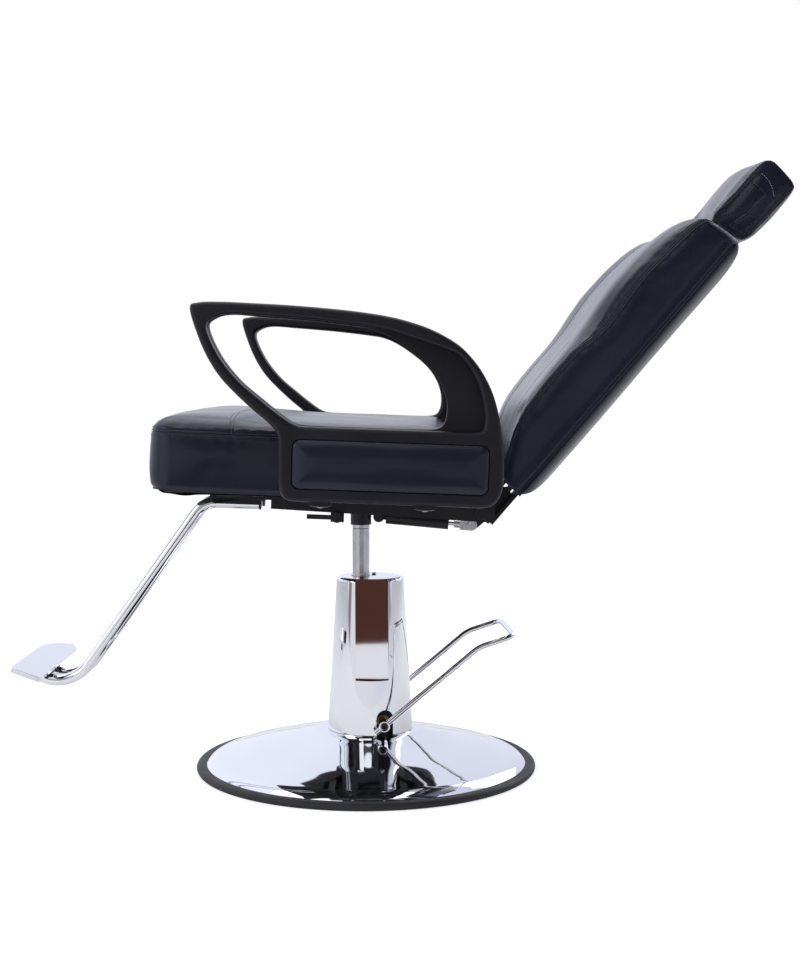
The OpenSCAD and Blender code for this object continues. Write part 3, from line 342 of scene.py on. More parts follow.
# Smooth value at x of a table of (x, value) rows, with no overshoot between them
def curveThrough(table, x):
    t, v = np.array(table, float).T
    h, s = np.diff(t), np.diff(v) / np.diff(t)
    m = np.zeros(len(t))
    m[0], m[-1] = s[0], s[-1]
    if len(s) > 1:
        same = s[:-1] * s[1:] > 0
        a, b = 2 * h[1:] + h[:-1], h[1:] + 2 * h[:-1]
        m[1:-1][same] = ((a + b) / (a / np.where(same, s[:-1], 1) + b / np.where(same, s[1:], 1)))[same]
    x = np.clip(x, t[0], t[-1])
    i = np.clip(np.searchsorted(t, x) - 1, 0, len(h) - 1)
    q = (x - t[i]) / h[i]
    return (v[i] * (1 + 2 * q) * (1 - q) ** 2 + h[i] * m[i] * q * (1 - q) ** 2
            + v[i + 1] * q * q * (3 - 2 * q) + h[i] * m[i + 1] * q * q * (q - 1))


# Lines from low to high whose spacing at each place is step(place)
def spread(low, high, step):
    x = np.linspace(low, high, 6001)
    count = np.concatenate([[0], np.cumsum(np.diff(x) / step((x[1:] + x[:-1]) / 2))])
    return np.interp(np.linspace(0, count[-1], ceil(count[-1]) + 1), count, x)


# A closed smooth curve through points, n steps between each pair
def closedCurve(points, n):
    b = np.array(points, float)
    a, c, d = np.roll(b, 1, 0), np.roll(b, -1, 0), np.roll(b, -2, 0)
    t = (np.arange(n) / n)[None, :, None]
    a, b, c, d = (v[:, None, :] for v in (a, b, c, d))
    return (0.5 * (2 * b + (c - a) * t + (2 * a - 5 * b + 4 * c - d) * t ** 2
                   + (3 * b - a - 3 * c + d) * t ** 3)).reshape(-1, 2)


def unit(v):
    return v / np.maximum(np.linalg.norm(v, axis=-1, keepdims=True), 1e-12)


# A clockwise outline drawn in by d along its own normals
def drawnIn(outline, d):
    way = unit(unit(np.roll(outline, -1, 0) - outline) + unit(outline - np.roll(outline, 1, 0)))
    return outline + np.asarray(d)[..., None] * np.stack([way[:, 1], -way[:, 0]], -1)


# An outline drawn in by d, less where it bends more tightly than that
def softlyIn(outline, d):
    d = np.broadcast_to(np.asarray(d, float), len(outline))
    before, after = outline - np.roll(outline, 1, 0), np.roll(outline, -1, 0) - outline
    turn = before[:, 0] * after[:, 1] - before[:, 1] * after[:, 0]
    reach = (np.linalg.norm(before, axis=1) + np.linalg.norm(after, axis=1)) / 2
    bend = -turn / np.maximum(reach ** 3, 1e-9) * np.sign(d)
    for _ in range(6):
        bend = (np.roll(bend, 1) + 2 * bend + np.roll(bend, -1)) / 4
    limit = np.where(bend > 1e-4, 0.8 / np.maximum(bend, 1e-4), 1e3)
    return drawnIn(outline, np.sign(d) * np.minimum(np.abs(d), limit))


# Quads over the six sides of a box of nx by ny by nz points, and the points' places in it
def boxLattice(nx, ny, nz):
    shell = np.ones((nx, ny, nz), bool)
    shell[1:-1, 1:-1, 1:-1] = False
    index = np.full((nx, ny, nz), -1)
    index[shell] = np.arange(shell.sum())
    faces = []
    for axis in range(3):
        for end in (0, -1):
            g = np.take(index, end, axis=axis)
            quads = np.stack([g[:-1, :-1], g[1:, :-1], g[1:, 1:], g[:-1, 1:]], -1).reshape(-1, 4)
            faces.append(quads if (end == -1) != (axis == 1) else quads[:, ::-1])
    return np.argwhere(shell), np.concatenate(faces)


# Points of a rectangle moved to the same place on a rectangle with round corners, drawn in
def roundIn(x, y, halfX, halfY, depth, drawn, corner):
    ax, ay = np.abs(x), np.abs(y)
    toX, toY = halfX - drawn, halfY - drawn
    sx = ax / np.maximum(halfX - depth, 1e-9) * toX
    sy = ay / np.maximum(halfY - depth, 1e-9) * toY
    r = np.clip(corner - drawn, 0.3, np.maximum(np.minimum(toX, toY), 1e-6))
    onX = halfX - ax <= halfY - ay
    t = np.where(onX, sy - (toY - r), 2 * r - (sx - (toX - r))) / (2 * r) * pi / 2
    bent = (sx > toX - r) & (sy > toY - r)
    return (np.sign(x) * np.where(bent, toX - r + r * np.cos(t), sx),
            np.sign(y) * np.where(bent, toY - r + r * np.sin(t), sy))


# Rings of points joined one after another, each ring closed
def ringFaces(count, rings):
    a = np.arange(rings - 1)[:, None] * count + np.arange(count)[None]
    b = np.arange(rings - 1)[:, None] * count + np.roll(np.arange(count), -1)[None]
    return np.stack([a, a + count, b + count, b], -1).reshape(-1, 4)


# The rings of a rod joined and closed at both ends, facing outwards
def rodFaces(count, rings):
    ring = np.arange(count)
    return [ringFaces(count, rings)[:, ::-1], ring[::-1][None], (ring + (rings - 1) * count)[None]]


def faceNormals(points, quads):
    return np.cross(points[quads[:, 2]] - points[quads[:, 0]], points[quads[:, 3]] - points[quads[:, 1]])


# Points moved outwards along the surface's normals
def pushedOut(points, quads, amount):
    normal = np.zeros_like(points)
    for k in range(4):
        np.add.at(normal, quads[:, k], faceNormals(points, quads))
    return points + unit(normal) * amount[:, None]


# The mesh that an item's modifiers make
def madeMesh(item):
    return bpy.data.meshes.new_from_object(item.evaluated_get(bpy.context.evaluated_depsgraph_get()))


def placesOf(mesh):
    places = np.empty(len(mesh.vertices) * 3)
    mesh.vertices.foreach_get("co", places)
    return places.reshape(-1, 3)


# How far each point of a closed form moves when it is blown up as cloth: a remeshed copy is blown up, and a
# point takes the mean move of the copy's nearest points
blowing = {"pressure": 4.0, "frames": 20, "quality": 4, "mass": 0.3, "near": 6, "reach": 0.0015}


def inflated(name, points, faceSets, voxel, cap):
    mesh = bpy.data.meshes.new(name)
    fillMesh(mesh, points, faceSets)
    form = addItem(name, mesh)
    remesh = form.modifiers.new("remesh", "REMESH")
    remesh.mode, remesh.voxel_size = "VOXEL", voxel
    form.data = madeMesh(form)
    form.modifiers.clear()
    start = placesOf(form.data)
    cloth = form.modifiers.new("cloth", "CLOTH")
    cloth.settings.quality, cloth.settings.mass = blowing["quality"], blowing["mass"]
    cloth.settings.use_pressure, cloth.settings.uniform_pressure_force = True, blowing["pressure"]
    cloth.settings.effector_weights.gravity = 0
    cloth.point_cache.frame_start, cloth.point_cache.frame_end = 1, blowing["frames"]
    for step in range(1, blowing["frames"] + 1):
        scene.frame_set(step)
    move = placesOf(form.evaluated_get(bpy.context.evaluated_depsgraph_get()).data) - start
    size = np.linalg.norm(move, axis=1, keepdims=True)
    move *= cap * np.tanh(size / cap) / np.maximum(size, 1e-9)
    bpy.data.objects.remove(form)
    scene.frame_set(1)
    tree = KDTree(len(start))
    for i, p in enumerate(start):
        tree.insert(p, i)
    tree.balance()
    moved = np.empty_like(points)
    for i, p in enumerate(points):
        near = tree.find_n(p, blowing["near"])
        weight = np.array([1 / (n[2] + blowing["reach"]) for n in near])
        moved[i] = weight @ move[[n[1] for n in near]] / weight.sum()
    return moved


# Height of leather across a seam: a line at 0, a dimple under each row of stitches, and a ridge inside and
# outside the rows
def seamHeight(x, rows=3.2, line=1.1, puff=0.75):
    away = np.abs(x)
    ridge = puff * hump(away - rows * 0.5, rows * 0.33) + 0.5 * puff * hump(away - rows - 2.2, 1.6)
    return ridge - line * hump(x, 0.55) - 0.35 * hump(away - rows, 0.6)


# A row of stitches along a path, each a short arched rod pressed onto the surface
def stitchRow(name, path, surface, body, material=None, pitch=4.2, length=2.9, radius=0.42):
    path = np.asarray(path)
    step = np.concatenate([[0], np.cumsum(np.linalg.norm(np.diff(path, axis=0), axis=1))])
    at = np.arange(pitch * 0.0005, step[-1], pitch * 0.001)

    def along(at):
        return np.stack([np.interp(at, step, path[:, k]) for k in range(3)], -1)

    middle, way = along(at), along(at + 0.0005) - along(at - 0.0005)
    found = [surface.find_nearest(Vector(p)) for p in middle]
    middle, normal = np.array([f[0] for f in found]), np.array([f[1] for f in found])
    way = unit(way - normal * (way * normal).sum(-1, keepdims=True))
    side = np.cross(normal, way)
    v = np.array([-1, -0.82, -0.3, 0.3, 0.82, 1])
    n = len(v)                                           # a stitch has n rings of n points
    turn = np.arange(n) / n * 2 * pi
    width = radius * np.sqrt(1 - 0.85 * v ** 2) * np.where(np.abs(v) == 1, 0.55, 1)
    rise = radius * (0.75 - 1.35 * v ** 4)
    local = np.stack([np.broadcast_to(v[:, None] * length / 2, (n, n)), width[:, None] * np.cos(turn),
                      rise[:, None] + width[:, None] * np.sin(turn)], -1) * 0.001
    points = (middle[:, None, None] + local[..., :1] * way[:, None, None]
              + local[..., 1:2] * side[:, None, None] + local[..., 2:] * normal[:, None, None]).reshape(-1, 3)
    base = np.arange(len(middle))[:, None, None] * n * n
    quads = (ringFaces(n, n)[None, :, ::-1] + base).reshape(-1, 4)
    ends = (np.stack([np.arange(n), np.arange(n * n - n, n * n)[::-1]])[None] + base).reshape(-1, n)
    return makePiece(name, points, [quads, ends], material or thread, body)


def surfaceOf(points, quads):
    return BVHTree.FromPolygons(points.tolist(), quads.tolist())


# Seat cushion: "side" is (height over the underside, inset), "crown" is (distance from the edge, rise), "fall"
# is the crown's share along the seat and "bulgeAt" the bulge's share at a height
seat = {"middle": -78.5, "halfLength": 223.5, "halfWidth": 300, "under": 40, "edge": 135, "corner": 30,
        "bow": 16, "bulge": 8, "bulgeFrom": -250, "seam": 127.5, "rows": 3.3, "crossSeams": (-185.0, -179.0),
        "shrink": 1.2, "cap": 0.003,
        "side": [(0, 6), (4, 2), (12, 0.6), (30, 0), (60, 0.1), (80, 0.7), (90, 1.6), (95, 2.4)],
        "crown": [(0, 0), (8, 8), (20, 13.5), (45, 17.5), (90, 20.5), (150, 23), (224, 24)],
        "fall": [(-302, 1), (-240, 0.98), (-195, 0.92), (-150, 0.78), (-111, 0.68), (-39, 0.58), (40, 0.57),
                 (90, 0.64), (145, 0.95)],
        "bulgeAt": [(40, 0), (52, 0.55), (78, 1), (105, 0.8), (135, 0.35)]}


# A pad: its side follows the table of (height, inset), its top the table of (distance from the edge, rise)
def padForm(xs, ys, rows, side, crown, corner):
    grid, quads = boxLattice(len(xs), len(ys), len(rows))
    x, y, row = xs[grid[:, 0]], ys[grid[:, 1]], rows[grid[:, 2]]
    depth = np.minimum(xs[-1] - np.abs(x), ys[-1] - np.abs(y))
    inset = curveThrough(side, row - rows[0])
    drawn = inset + depth * (1 - inset / min(xs[-1], ys[-1]))
    px, py = roundIn(x, y, xs[-1], ys[-1], depth, drawn, corner)
    onTop = grid[:, 2] == len(rows) - 1
    return px, py, row + np.where(onTop, curveThrough(crown, depth), 0), quads, onTop, grid[:, 2] == 0


# The front bows towards its middle, and bulges below the seam
def bowed(u, y, w):
    front = seat["halfLength"] - seat["middle"]
    ahead = (1 - (y / seat["halfWidth"]) ** 2) * np.where(u < 0, u / front, 0) ** 2
    bulge = np.where(u < seat["bulgeFrom"], curveThrough(seat["bulgeAt"], w), 0)
    near = clamped((seat["bulgeFrom"] - u) / 45)
    return u - ahead * seat["bow"] - np.sqrt(np.maximum(ahead, 0)) * seat["bulge"] * bulge * near


def seatRing(w, inset):
    across, full = np.linspace(-1, 1, 200), np.ones(200)
    x = np.concatenate([across, full, across[::-1], -full]) * seat["halfLength"]
    y = np.concatenate([-full, across, full, across[::-1]]) * seat["halfWidth"]
    depth, drawn = np.zeros(len(x)), np.full(len(x), inset)
    x, y = roundIn(x, y, seat["halfLength"], seat["halfWidth"], depth, drawn, seat["corner"])
    return inSeat(np.stack([bowed(x + seat["middle"], y, w), y, np.full(len(x), float(w))], -1))


def buildSeat():
    halfLength, halfWidth, edge = seat["halfLength"], seat["halfWidth"], seat["edge"]
    crossAt = sum(seat["crossSeams"]) / 2
    crossX = crossAt - seat["middle"]
    xs = spread(-halfLength, halfLength,
                lambda x: np.select([np.abs(x - crossX) < 9, np.abs(x) > 195], [0.9, 2.2], 4.6))
    ys = spread(-halfWidth, halfWidth, lambda y: np.where(np.abs(y) > 272, 2.2, 5.2))
    rows = spread(seat["under"], edge,
                  lambda w: np.select([np.abs(w - seat["seam"]) < 7, w < 50], [0.7, 1.6], 3.4))
    x, y, w, quads, onTop, under = padForm(xs, ys, rows, seat["side"], seat["crown"], seat["corner"])
    u = x + seat["middle"]
    w = np.where(onTop, edge + (w - edge) * curveThrough(seat["fall"], u), w)
    w += 3 * clamped((-245 - u) / 45) * clamped((60 - w) / 20)      # the front's lower edge lifts
    points = inSeat(np.stack([bowed(u, y, w), y, w], -1))
    small = pushedOut(points, quads, np.where(under, 0, -seat["shrink"]) * 0.001)
    soft = inflated("seatForm", small, quads, 0.006, seat["cap"])
    soft[under] = 0
    points = small + soft
    # The seam round the cushion with puckers beside it, the seam across it, and slow waves in the walls
    seam = np.where(onTop, 99, w - seat["seam"])
    height = seamHeight(seam, seat["rows"])
    height += 0.3 * hump(np.abs(seam) - 7, 4) * np.sin((u * 0.8 + y * 0.9) / 3.1 + np.sin(u / 31) * 2)
    cross = np.where(onTop | (w > seat["seam"] + 1), 1.0, 0)
    for at in seat["crossSeams"]:
        height -= 1.5 * cross * hump(u - at, 0.8)
    height += 0.5 * cross * hump(u - crossAt, 1.6)
    wall = np.where(onTop | under, 0, clamped((w - 44) / 15) * clamped((124 - w) / 15))
    height += wall * (0.5 * np.sin(u / 47 + w / 43 + 0.6) * np.sin(y / 67 + w / 61)
                      + 0.18 * np.sin((u + w * 0.9) / 31))
    height[under] = 0
    points = pushedOut(points, quads, height * 0.001)
    cushion = makePiece("seatCushion", points, quads, leather, "chair", ["seat_cushion"])
    surface = surfaceOf(points, quads)
    for label, w in (("Upper", seat["seam"] + seat["rows"]), ("Lower", seat["seam"] - seat["rows"])):
        stitchRow("seatStitches" + label, seatRing(w, 1), surface, "chair")


buildSeat()
print("seat ready")


# Back: depths are forward of the hinge's plane, heights are along the back. "roll" is the crest's share at a
# share of the half width.
back = {"half": 275, "foot": 54, "top": 548, "rear": 24, "hollow": 0.22, "flank": 0.70, "headDraw": 14,
        "shrink": 1.6, "cap": 0.003,
        "rows": 2.6, "innerSeam": 150, "innerRows": 2.6, "rearGap": 2.5, "rearRows": 2.2,
        "seamLine": [(54, 2), (63, 15), (100, 35), (131, 47), (180, 54), (230, 55), (268, 54), (302, 48),
                     (332, 45.5), (360, 47), (416, 50), (450, 47.6), (484, 45), (514, 42), (538, 34),
                     (545, 18), (548, 2)],
        "crestLine": [(54, 2), (63, 15), (100, 36), (131, 49.5), (148, 56), (180, 61.5), (230, 63.5),
                      (269, 63.5), (310, 66.5), (347, 71.5), (386, 74.5), (427, 73.5), (473, 69), (504, 62),
                      (530, 50), (540, 37), (548, 5)],
        "roll": [(0.70, 1), (0.78, 0.98), (0.85, 0.92), (0.90, 0.83), (0.94, 0.68), (0.965, 0.53),
                 (0.985, 0.33), (1, 0)]}


# Share of the crest's height across the back: the side bolsters roll off, and the middle is hollow
def bolster(y):
    a = np.abs(y) / back["half"]
    outer = curveThrough(back["roll"], a)
    q = clamped((back["flank"] - a) / 0.17)
    inner = 1 - back["hollow"] * q * q * (3 - 2 * q)
    return np.where(a > back["flank"], outer, inner)


def topDraw(s):
    return back["headDraw"] * clamped((s - back["top"] + 16) / 16) ** 2


def backFront(y, s):
    e, c = curveThrough(back["seamLine"], s), curveThrough(back["crestLine"], s)
    return -(e + (c - e) * bolster(y))


def buildBack():
    half, foot, top, innerSeam = back["half"], back["foot"], back["top"], back["innerSeam"]
    a = spread(0, 1, lambda t: np.select([t < 0.14, t > 0.86], [0.012, 0.016], 0.05))
    ys = spread(-half, half, lambda y: np.select(
        [np.abs(y) > 271, np.abs(y) > 250, np.abs(np.abs(y) - innerSeam) < 6], [0.45, 1.4, 0.9], 4.8))
    ss = spread(foot, top, lambda s: np.where((s < 66) | (s > 530), 1.6, 4.2))
    grid, quads = boxLattice(len(a), len(ys), len(ss))
    t, y, s = a[grid[:, 0]], ys[grid[:, 1]], ss[grid[:, 2]]
    onFront, rear, onSide = grid[:, 0] == 0, grid[:, 0] == len(a) - 1, np.abs(y) > half - 0.01
    front = backFront(y, s)
    x = front + t * (back["rear"] - front)
    depth = x - front                                    # behind the seam, on the side
    py = y / half * (half - topDraw(s))
    # The side leans in towards the front seam and rounds towards the rear seam
    lean = 6 * np.exp(-depth / 12) + 5 * clamped((x - 2) / 22) ** 2
    py -= y / half * lean * clamped((np.abs(y) - 180) / 80)
    points = inBack(np.stack([x, py, s], -1))
    small = pushedOut(points, quads, np.where(rear, 0, -back["shrink"]) * 0.001)
    soft = inflated("backForm", small, quads, 0.006, back["cap"])
    soft[rear] *= 0.1
    points = small + soft
    # The front seam with puckers beside it, the rear seam, the bolsters' seams, and slow waves in the sides
    inward = -np.hypot(half - np.abs(y), -curveThrough(back["seamLine"], s) - front)
    seam = np.where(onSide, depth, np.where(onFront, inward, 99))
    height = seamHeight(seam, back["rows"])
    rearSeam = np.where(onSide, back["rear"] - x - back["rearGap"], 99)
    height += seamHeight(rearSeam, back["rearRows"], 0.8, 0.4) * onSide
    pucker = hump(np.abs(seam) - 6, 4.5)
    height += 0.45 * pucker * np.sin(s / 3.4 + 2.1 * np.sin(s / 27)) * (0.4 + 0.6 * np.sin(s / 61) ** 2)
    height += np.where(onFront, seamHeight(np.abs(y) - innerSeam, back["innerRows"], 1.2, 0.5), 0)
    height += np.where(onSide, 0.9 * np.sin(s / 33 + x / 17) * np.sin(s / 57 + 1) * np.sin(pi * t), 0)
    height *= np.where(rear | (s < foot + 1) | (s > top - 1), 0, 1)
    points = pushedOut(points, quads, height * 0.001)
    cushion = makePiece("backCushion", points, quads, leather, "back", ["back_cushion"])
    surface = surfaceOf(points, quads)
    along = np.linspace(70, 538, 240)

    def frontAt(y):
        return backFront(np.full(len(along), float(y)), along)

    inner, rearRow = half - 0.9, back["rear"] - back["rearGap"] - back["rearRows"]
    for side, mark in ((-1, "Right"), (1, "Left")):
        edge = side * (half - topDraw(along))
        for label, depth, across in (
            ("Outer", frontAt(half) + back["rows"], edge),
            ("Inner", frontAt(inner), side * (inner - topDraw(along))),
            ("Rear", np.full(len(along), rearRow), edge),
        ):
            path = inBack(np.stack([depth, across, along], -1))
            stitchRow("backStitches" + label + mark, path, surface, "back")
        for label, shift in (("Inner", -back["innerRows"]), ("Outer", back["innerRows"])):
            across = np.full(len(along), side * (innerSeam + shift))
            path = inBack(np.stack([frontAt(innerSeam), across, along], -1))
            stitchRow("bolsterStitches" + mark + label, path, surface, "back")


# Rear cover: a padded panel whose edge rounds over
rearCover = {"top": 546, "rows": (23.2, 27), "corner": 16,
             "side": [(0, 4.6), (1, 4.6), (2, 5.0), (3.8, 6.4)],
             "crown": [(0, 0), (2, 1.7), (6, 4.3), (12, 7.5), (20, 10.6), (32, 13.8), (50, 16.4), (75, 17.6),
                       (240, 18)]}


def buildBackCover():
    half, length = back["half"], (rearCover["top"] - back["foot"]) / 2
    ys = spread(-half, half, lambda v: np.where(np.abs(v) > half - 26, 1.4, 6.0))
    zs = spread(-length, length, lambda v: np.where(np.abs(v) > length - 26, 1.4, 6.0))
    rows = spread(*rearCover["rows"], lambda v: np.full_like(v, 1.0))
    c = rearCover
    y, z, x, quads, onTop, _ = padForm(ys, zs, rows, c["side"], c["crown"], c["corner"])
    wave = 0.5 * np.sin(y / 83 + z / 47) * clamped((half - np.abs(y)) / 60)
    x = x + np.where(onTop, wave, 0)
    points = inBack(np.stack([x, y, z + back["foot"] + length], -1))
    cover = makePiece("backCover", points, quads, leather, "back", ["back_cover"])


buildBack()
buildBackCover()
print("back ready")


# Headrest: its lines are (along the back, forward), its insets (across, inset). At the ends the end outline
# takes the place of the outline's first points.
head = {"half": 140, "middle": (630, -12), "shift": (1.5, -1.5), "shrink": 0.0012, "cap": 0.0025,
        "crown": 3.0, "crownMiddle": (630, -14), "crownHalf": (66, 40),
        "outline": [(562, 5), (567, 13), (577, 18.5), (590, 22), (612, 27.5), (639, 30), (662, 30), (682, 26.5),
                    (692, 18), (696, 2), (694, -22), (690, -40.5), (680.5, -48.2), (648, -49), (610, -48),
                    (585, -45), (570, -38), (564, -24), (562, -10)],
        "endOutline": [(562, 24), (567, 30), (577, 33), (591, 33), (613, 32), (639, 31.5), (662, 31),
                       (682, 27)],
        "frontInset": [(0, 0), (30, 0.5), (70, 3), (100, 5.2), (120, 6.8), (134, 8), (140, 10)],
        "rearInset": [(0, 0), (110, 0), (128, 0.3), (135, 1.2), (139, 3), (140, 4.5)],
        "frontSeam": [(556, 29), (563, 28), (612, 21), (663, 17), (694, 8)],
        "rearSeam": [(556, -30), (564, -31), (649, -41), (694, -34)],
        "pocket": [((649, 10), (646, -17)), ((646, -17), (606, -13)), ((606, -13), (565, -3)),
                   ((644, -21.5), (606, -17.5)), ((606, -17.5), (565, -8))],
        "welt": [((645, -19), (606, -15.3)), ((606, -15.3), (565, -5.5))],
        "arcStitch": [(667, 7), (666, -4), (661, -18), (651, -32)]}


def distanceTo(points, start, end):
    start, way = np.array(start, float), np.array(end, float) - np.array(start, float)
    t = clamped(((points - start) @ way) / (way @ way))
    return np.linalg.norm(points - start - t[:, None] * way, axis=1)


def buildHeadrest():
    half, steps = head["half"], 12
    plain = np.array(head["outline"], float) + head["shift"]
    full = plain.copy()
    full[:len(head["endOutline"])] = np.array(head["endOutline"], float) + head["shift"]
    count = len(plain) * steps
    ys = spread(-half, half, lambda v: np.where(np.abs(v) > 128, 0.8, 4.5))

    # The outline fills out towards the ends, and there its front is drawn back and its rear drawn in
    def ringAt(v):
        v = abs(v)
        share = clamped((v - 90) / 45)
        outline = closedCurve(plain + (full - plain) * share * share * (3 - 2 * share), steps)
        ahead = clamped((outline[:, 1] + 6) / 36)
        outline = softlyIn(outline, (1 - ahead) * curveThrough(head["rearInset"], np.array([v])))
        outline[:, 1] -= ahead * curveThrough(head["frontInset"], np.array([v]))
        return outline

    rings = [np.column_stack([ringAt(v), np.full(count, v)]) for v in ys]
    inner = ringAt(half)
    middle = np.array(head["middle"], float)

    # Each end is rings drawn in to the middle of its outline, and crowned
    def crowned(p):
        s, h = ((p - head["crownMiddle"]) / head["crownHalf"]).T
        return half + head["crown"] * clamped(1 - s ** 2) * clamped(1 - h ** 2)

    caps = []
    for k in np.linspace(1, 0.02, 46)[1:]:
        flat = middle + (inner - middle) * k
        caps.append(np.column_stack([flat, half + (crowned(flat) - half) * min(1, (1 - k) * 8)]))
    low = [np.column_stack([r[:, :2], -r[:, 2]]) for r in caps[::-1]]
    stack = low + rings + caps
    quads, *ends = rodFaces(count, len(stack))
    faces = [quads, *[e[:, ::-1] for e in ends]]
    stack = np.array(stack).reshape(-1, 3)
    flat, across = stack[:, :2], stack[:, 2]
    points = inBack(np.stack([-flat[:, 1], across, flat[:, 0]], -1))
    small = pushedOut(points, quads, np.full(len(points), -head["shrink"]))
    points = small + inflated("headForm", small, faces, 0.005, head["cap"])
    # The seams and the pocket with its welt on the ends, and slow waves
    onEnd, nearSide = np.abs(across) > 135, across < -135
    height = np.zeros(len(points))
    for key, line in (("frontSeam", 1.0), ("rearSeam", 0.7)):
        gap = flat[:, 1] - curveThrough(head[key], flat[:, 0])
        height += np.where(onEnd, seamHeight(gap, 2.4, line, 0.5), 0)
    for start, end in head["pocket"]:
        height -= np.where(nearSide, 1.4 * hump(distanceTo(flat, start, end), 0.7), 0)
    welt = np.minimum.reduce([distanceTo(flat, start, end) for start, end in head["welt"]])
    height += np.where(nearSide, 0.9 * hump(welt, 1.5), 0)
    height += 0.4 * np.sin(flat[:, 0] / 17 + across / 29) * np.sin(across / 23)
    points = pushedOut(points, quads, height * 0.001)
    cushion = makePiece("headrestCushion", points, faces, leather, "headrest", ["headrest_cushion"])
    surface = surfaceOf(points, quads)
    along = np.linspace(569, 686, 80)
    for side, mark in ((-1, "Right"), (1, "Left")):
        for key, shift, label in (("frontSeam", 2.4, "FrontOuter"), ("frontSeam", -2.4, "FrontInner"),
                                  ("rearSeam", 2.2, "Rear")):
            forward, across = curveThrough(head[key], along) + shift, np.full(len(along), side * (half + 2.0))
            path = inBack(np.stack([-forward, across, along], -1))
            stitchRow("headStitches" + label + mark, path, surface, "headrest")
    arc = np.array(head["arcStitch"], float)
    t = np.linspace(0, 1, 60)
    along, forward = (curveThrough(np.column_stack([np.linspace(0, 1, len(arc)), line]), t) for line in arc.T)
    path = inBack(np.stack([-forward, np.full(len(t), -half - 2.5), along], -1))
    stitchRow("headArcStitches", path, surface, "headrest", paleThread, pitch=3.8, length=2.7, radius=0.32)


buildHeadrest()
print("headrest ready")


# Arms: outlines are (along the seat, up), clockwise seen from outside. Each kind of edge has its radius.
arm = {"inner": 312.0, "thick": 47.0, "rim": 23.0, "edge": 6.5, "webEdge": 1.5, "recessEdge": 0.8, "lip": 0.8,
       "outline": [(-239, 306), (-227, 315), (-193, 317), (-145, 316.5), (-100, 315.5), (-55, 313.5),
                   (-10, 310.5), (35, 305.5), (70, 298.5), (105, 287.5), (140, 269.5), (162.5, 249.5),
                   (179.5, 227), (193.5, 200), (203.5, 168), (210.3, 130), (213, 95), (212, 66), (203, 46),
                   (184, 38), (140, 38), (60, 38), (-20, 38), (-80, 38), (-99, 43), (-106, 62), (-108, 100),
                   (-110, 131), (-123, 148), (-147, 167), (-171, 188), (-193, 210), (-210, 234), (-225, 264)],
       "rimHole": [(-215, 280), (-206, 294), (-183, 300.5), (-140, 300), (-70, 297), (-9, 292), (40, 285),
                   (86, 272), (120, 262), (145, 251), (164, 227), (176, 200), (182, 172), (182, 155),
                   (172, 146), (110, 145), (20, 145), (-60, 145), (-84, 147), (-106, 159), (-137, 182),
                   (-169, 208), (-197, 242)],
       "webHole": [(-215, 280), (-206, 294), (-183, 300.5), (-140, 299), (-70, 295.5), (-9, 290.5),
                   (22, 286), (50, 274.5), (81, 254.5), (100, 239), (114, 223), (125, 203), (130.5, 180),
                   (128, 158), (116, 147), (80, 145), (10, 145), (-50, 145), (-84, 147), (-106, 159),
                   (-137, 182), (-169, 208), (-197, 242)],
       "panel": {"u": (-88.0, 192.0), "w": (56.0, 127.0), "corner": 12.0, "sink": 6.0, "gap": 0.4,
                 "rows": (0.3, 4.6), "side": [(0, 0.4), (1, 0), (3, 0), (4.3, 0.2)],
                 "crown": [(0, 0), (0.8, 1.3), (2.4, 2.5), (6, 4.0), (14, 5.9), (24, 7.0), (36, 7.4)]}}


def roundedRectangle(u0, u1, w0, w1, r, n=8):
    points = []
    corners = ((u1 - r, w0 + r), (u0 + r, w0 + r), (u0 + r, w1 - r), (u1 - r, w1 - r))
    for k, (cu, cw) in enumerate(corners):
        turn = np.radians(-90 * k - np.linspace(0, 90, n + 1))
        points.append(np.column_stack([cu + r * np.cos(turn), cw + r * np.sin(turn)]))
    return np.concatenate(points)


# Loops of an edge rounded by r between a face at y and a wall towards s, from the face to the wall
def roundedEdge(outline, side, y, s, r, n=7):
    loops = []
    for t in np.radians(np.linspace(0, 90, n)):
        drawn = softlyIn(outline, side * r * (1 - sin(t))) if sin(t) < 0.999 else outline
        loops.append((drawn, y + s * r * (1 - cos(t))))
    return loops


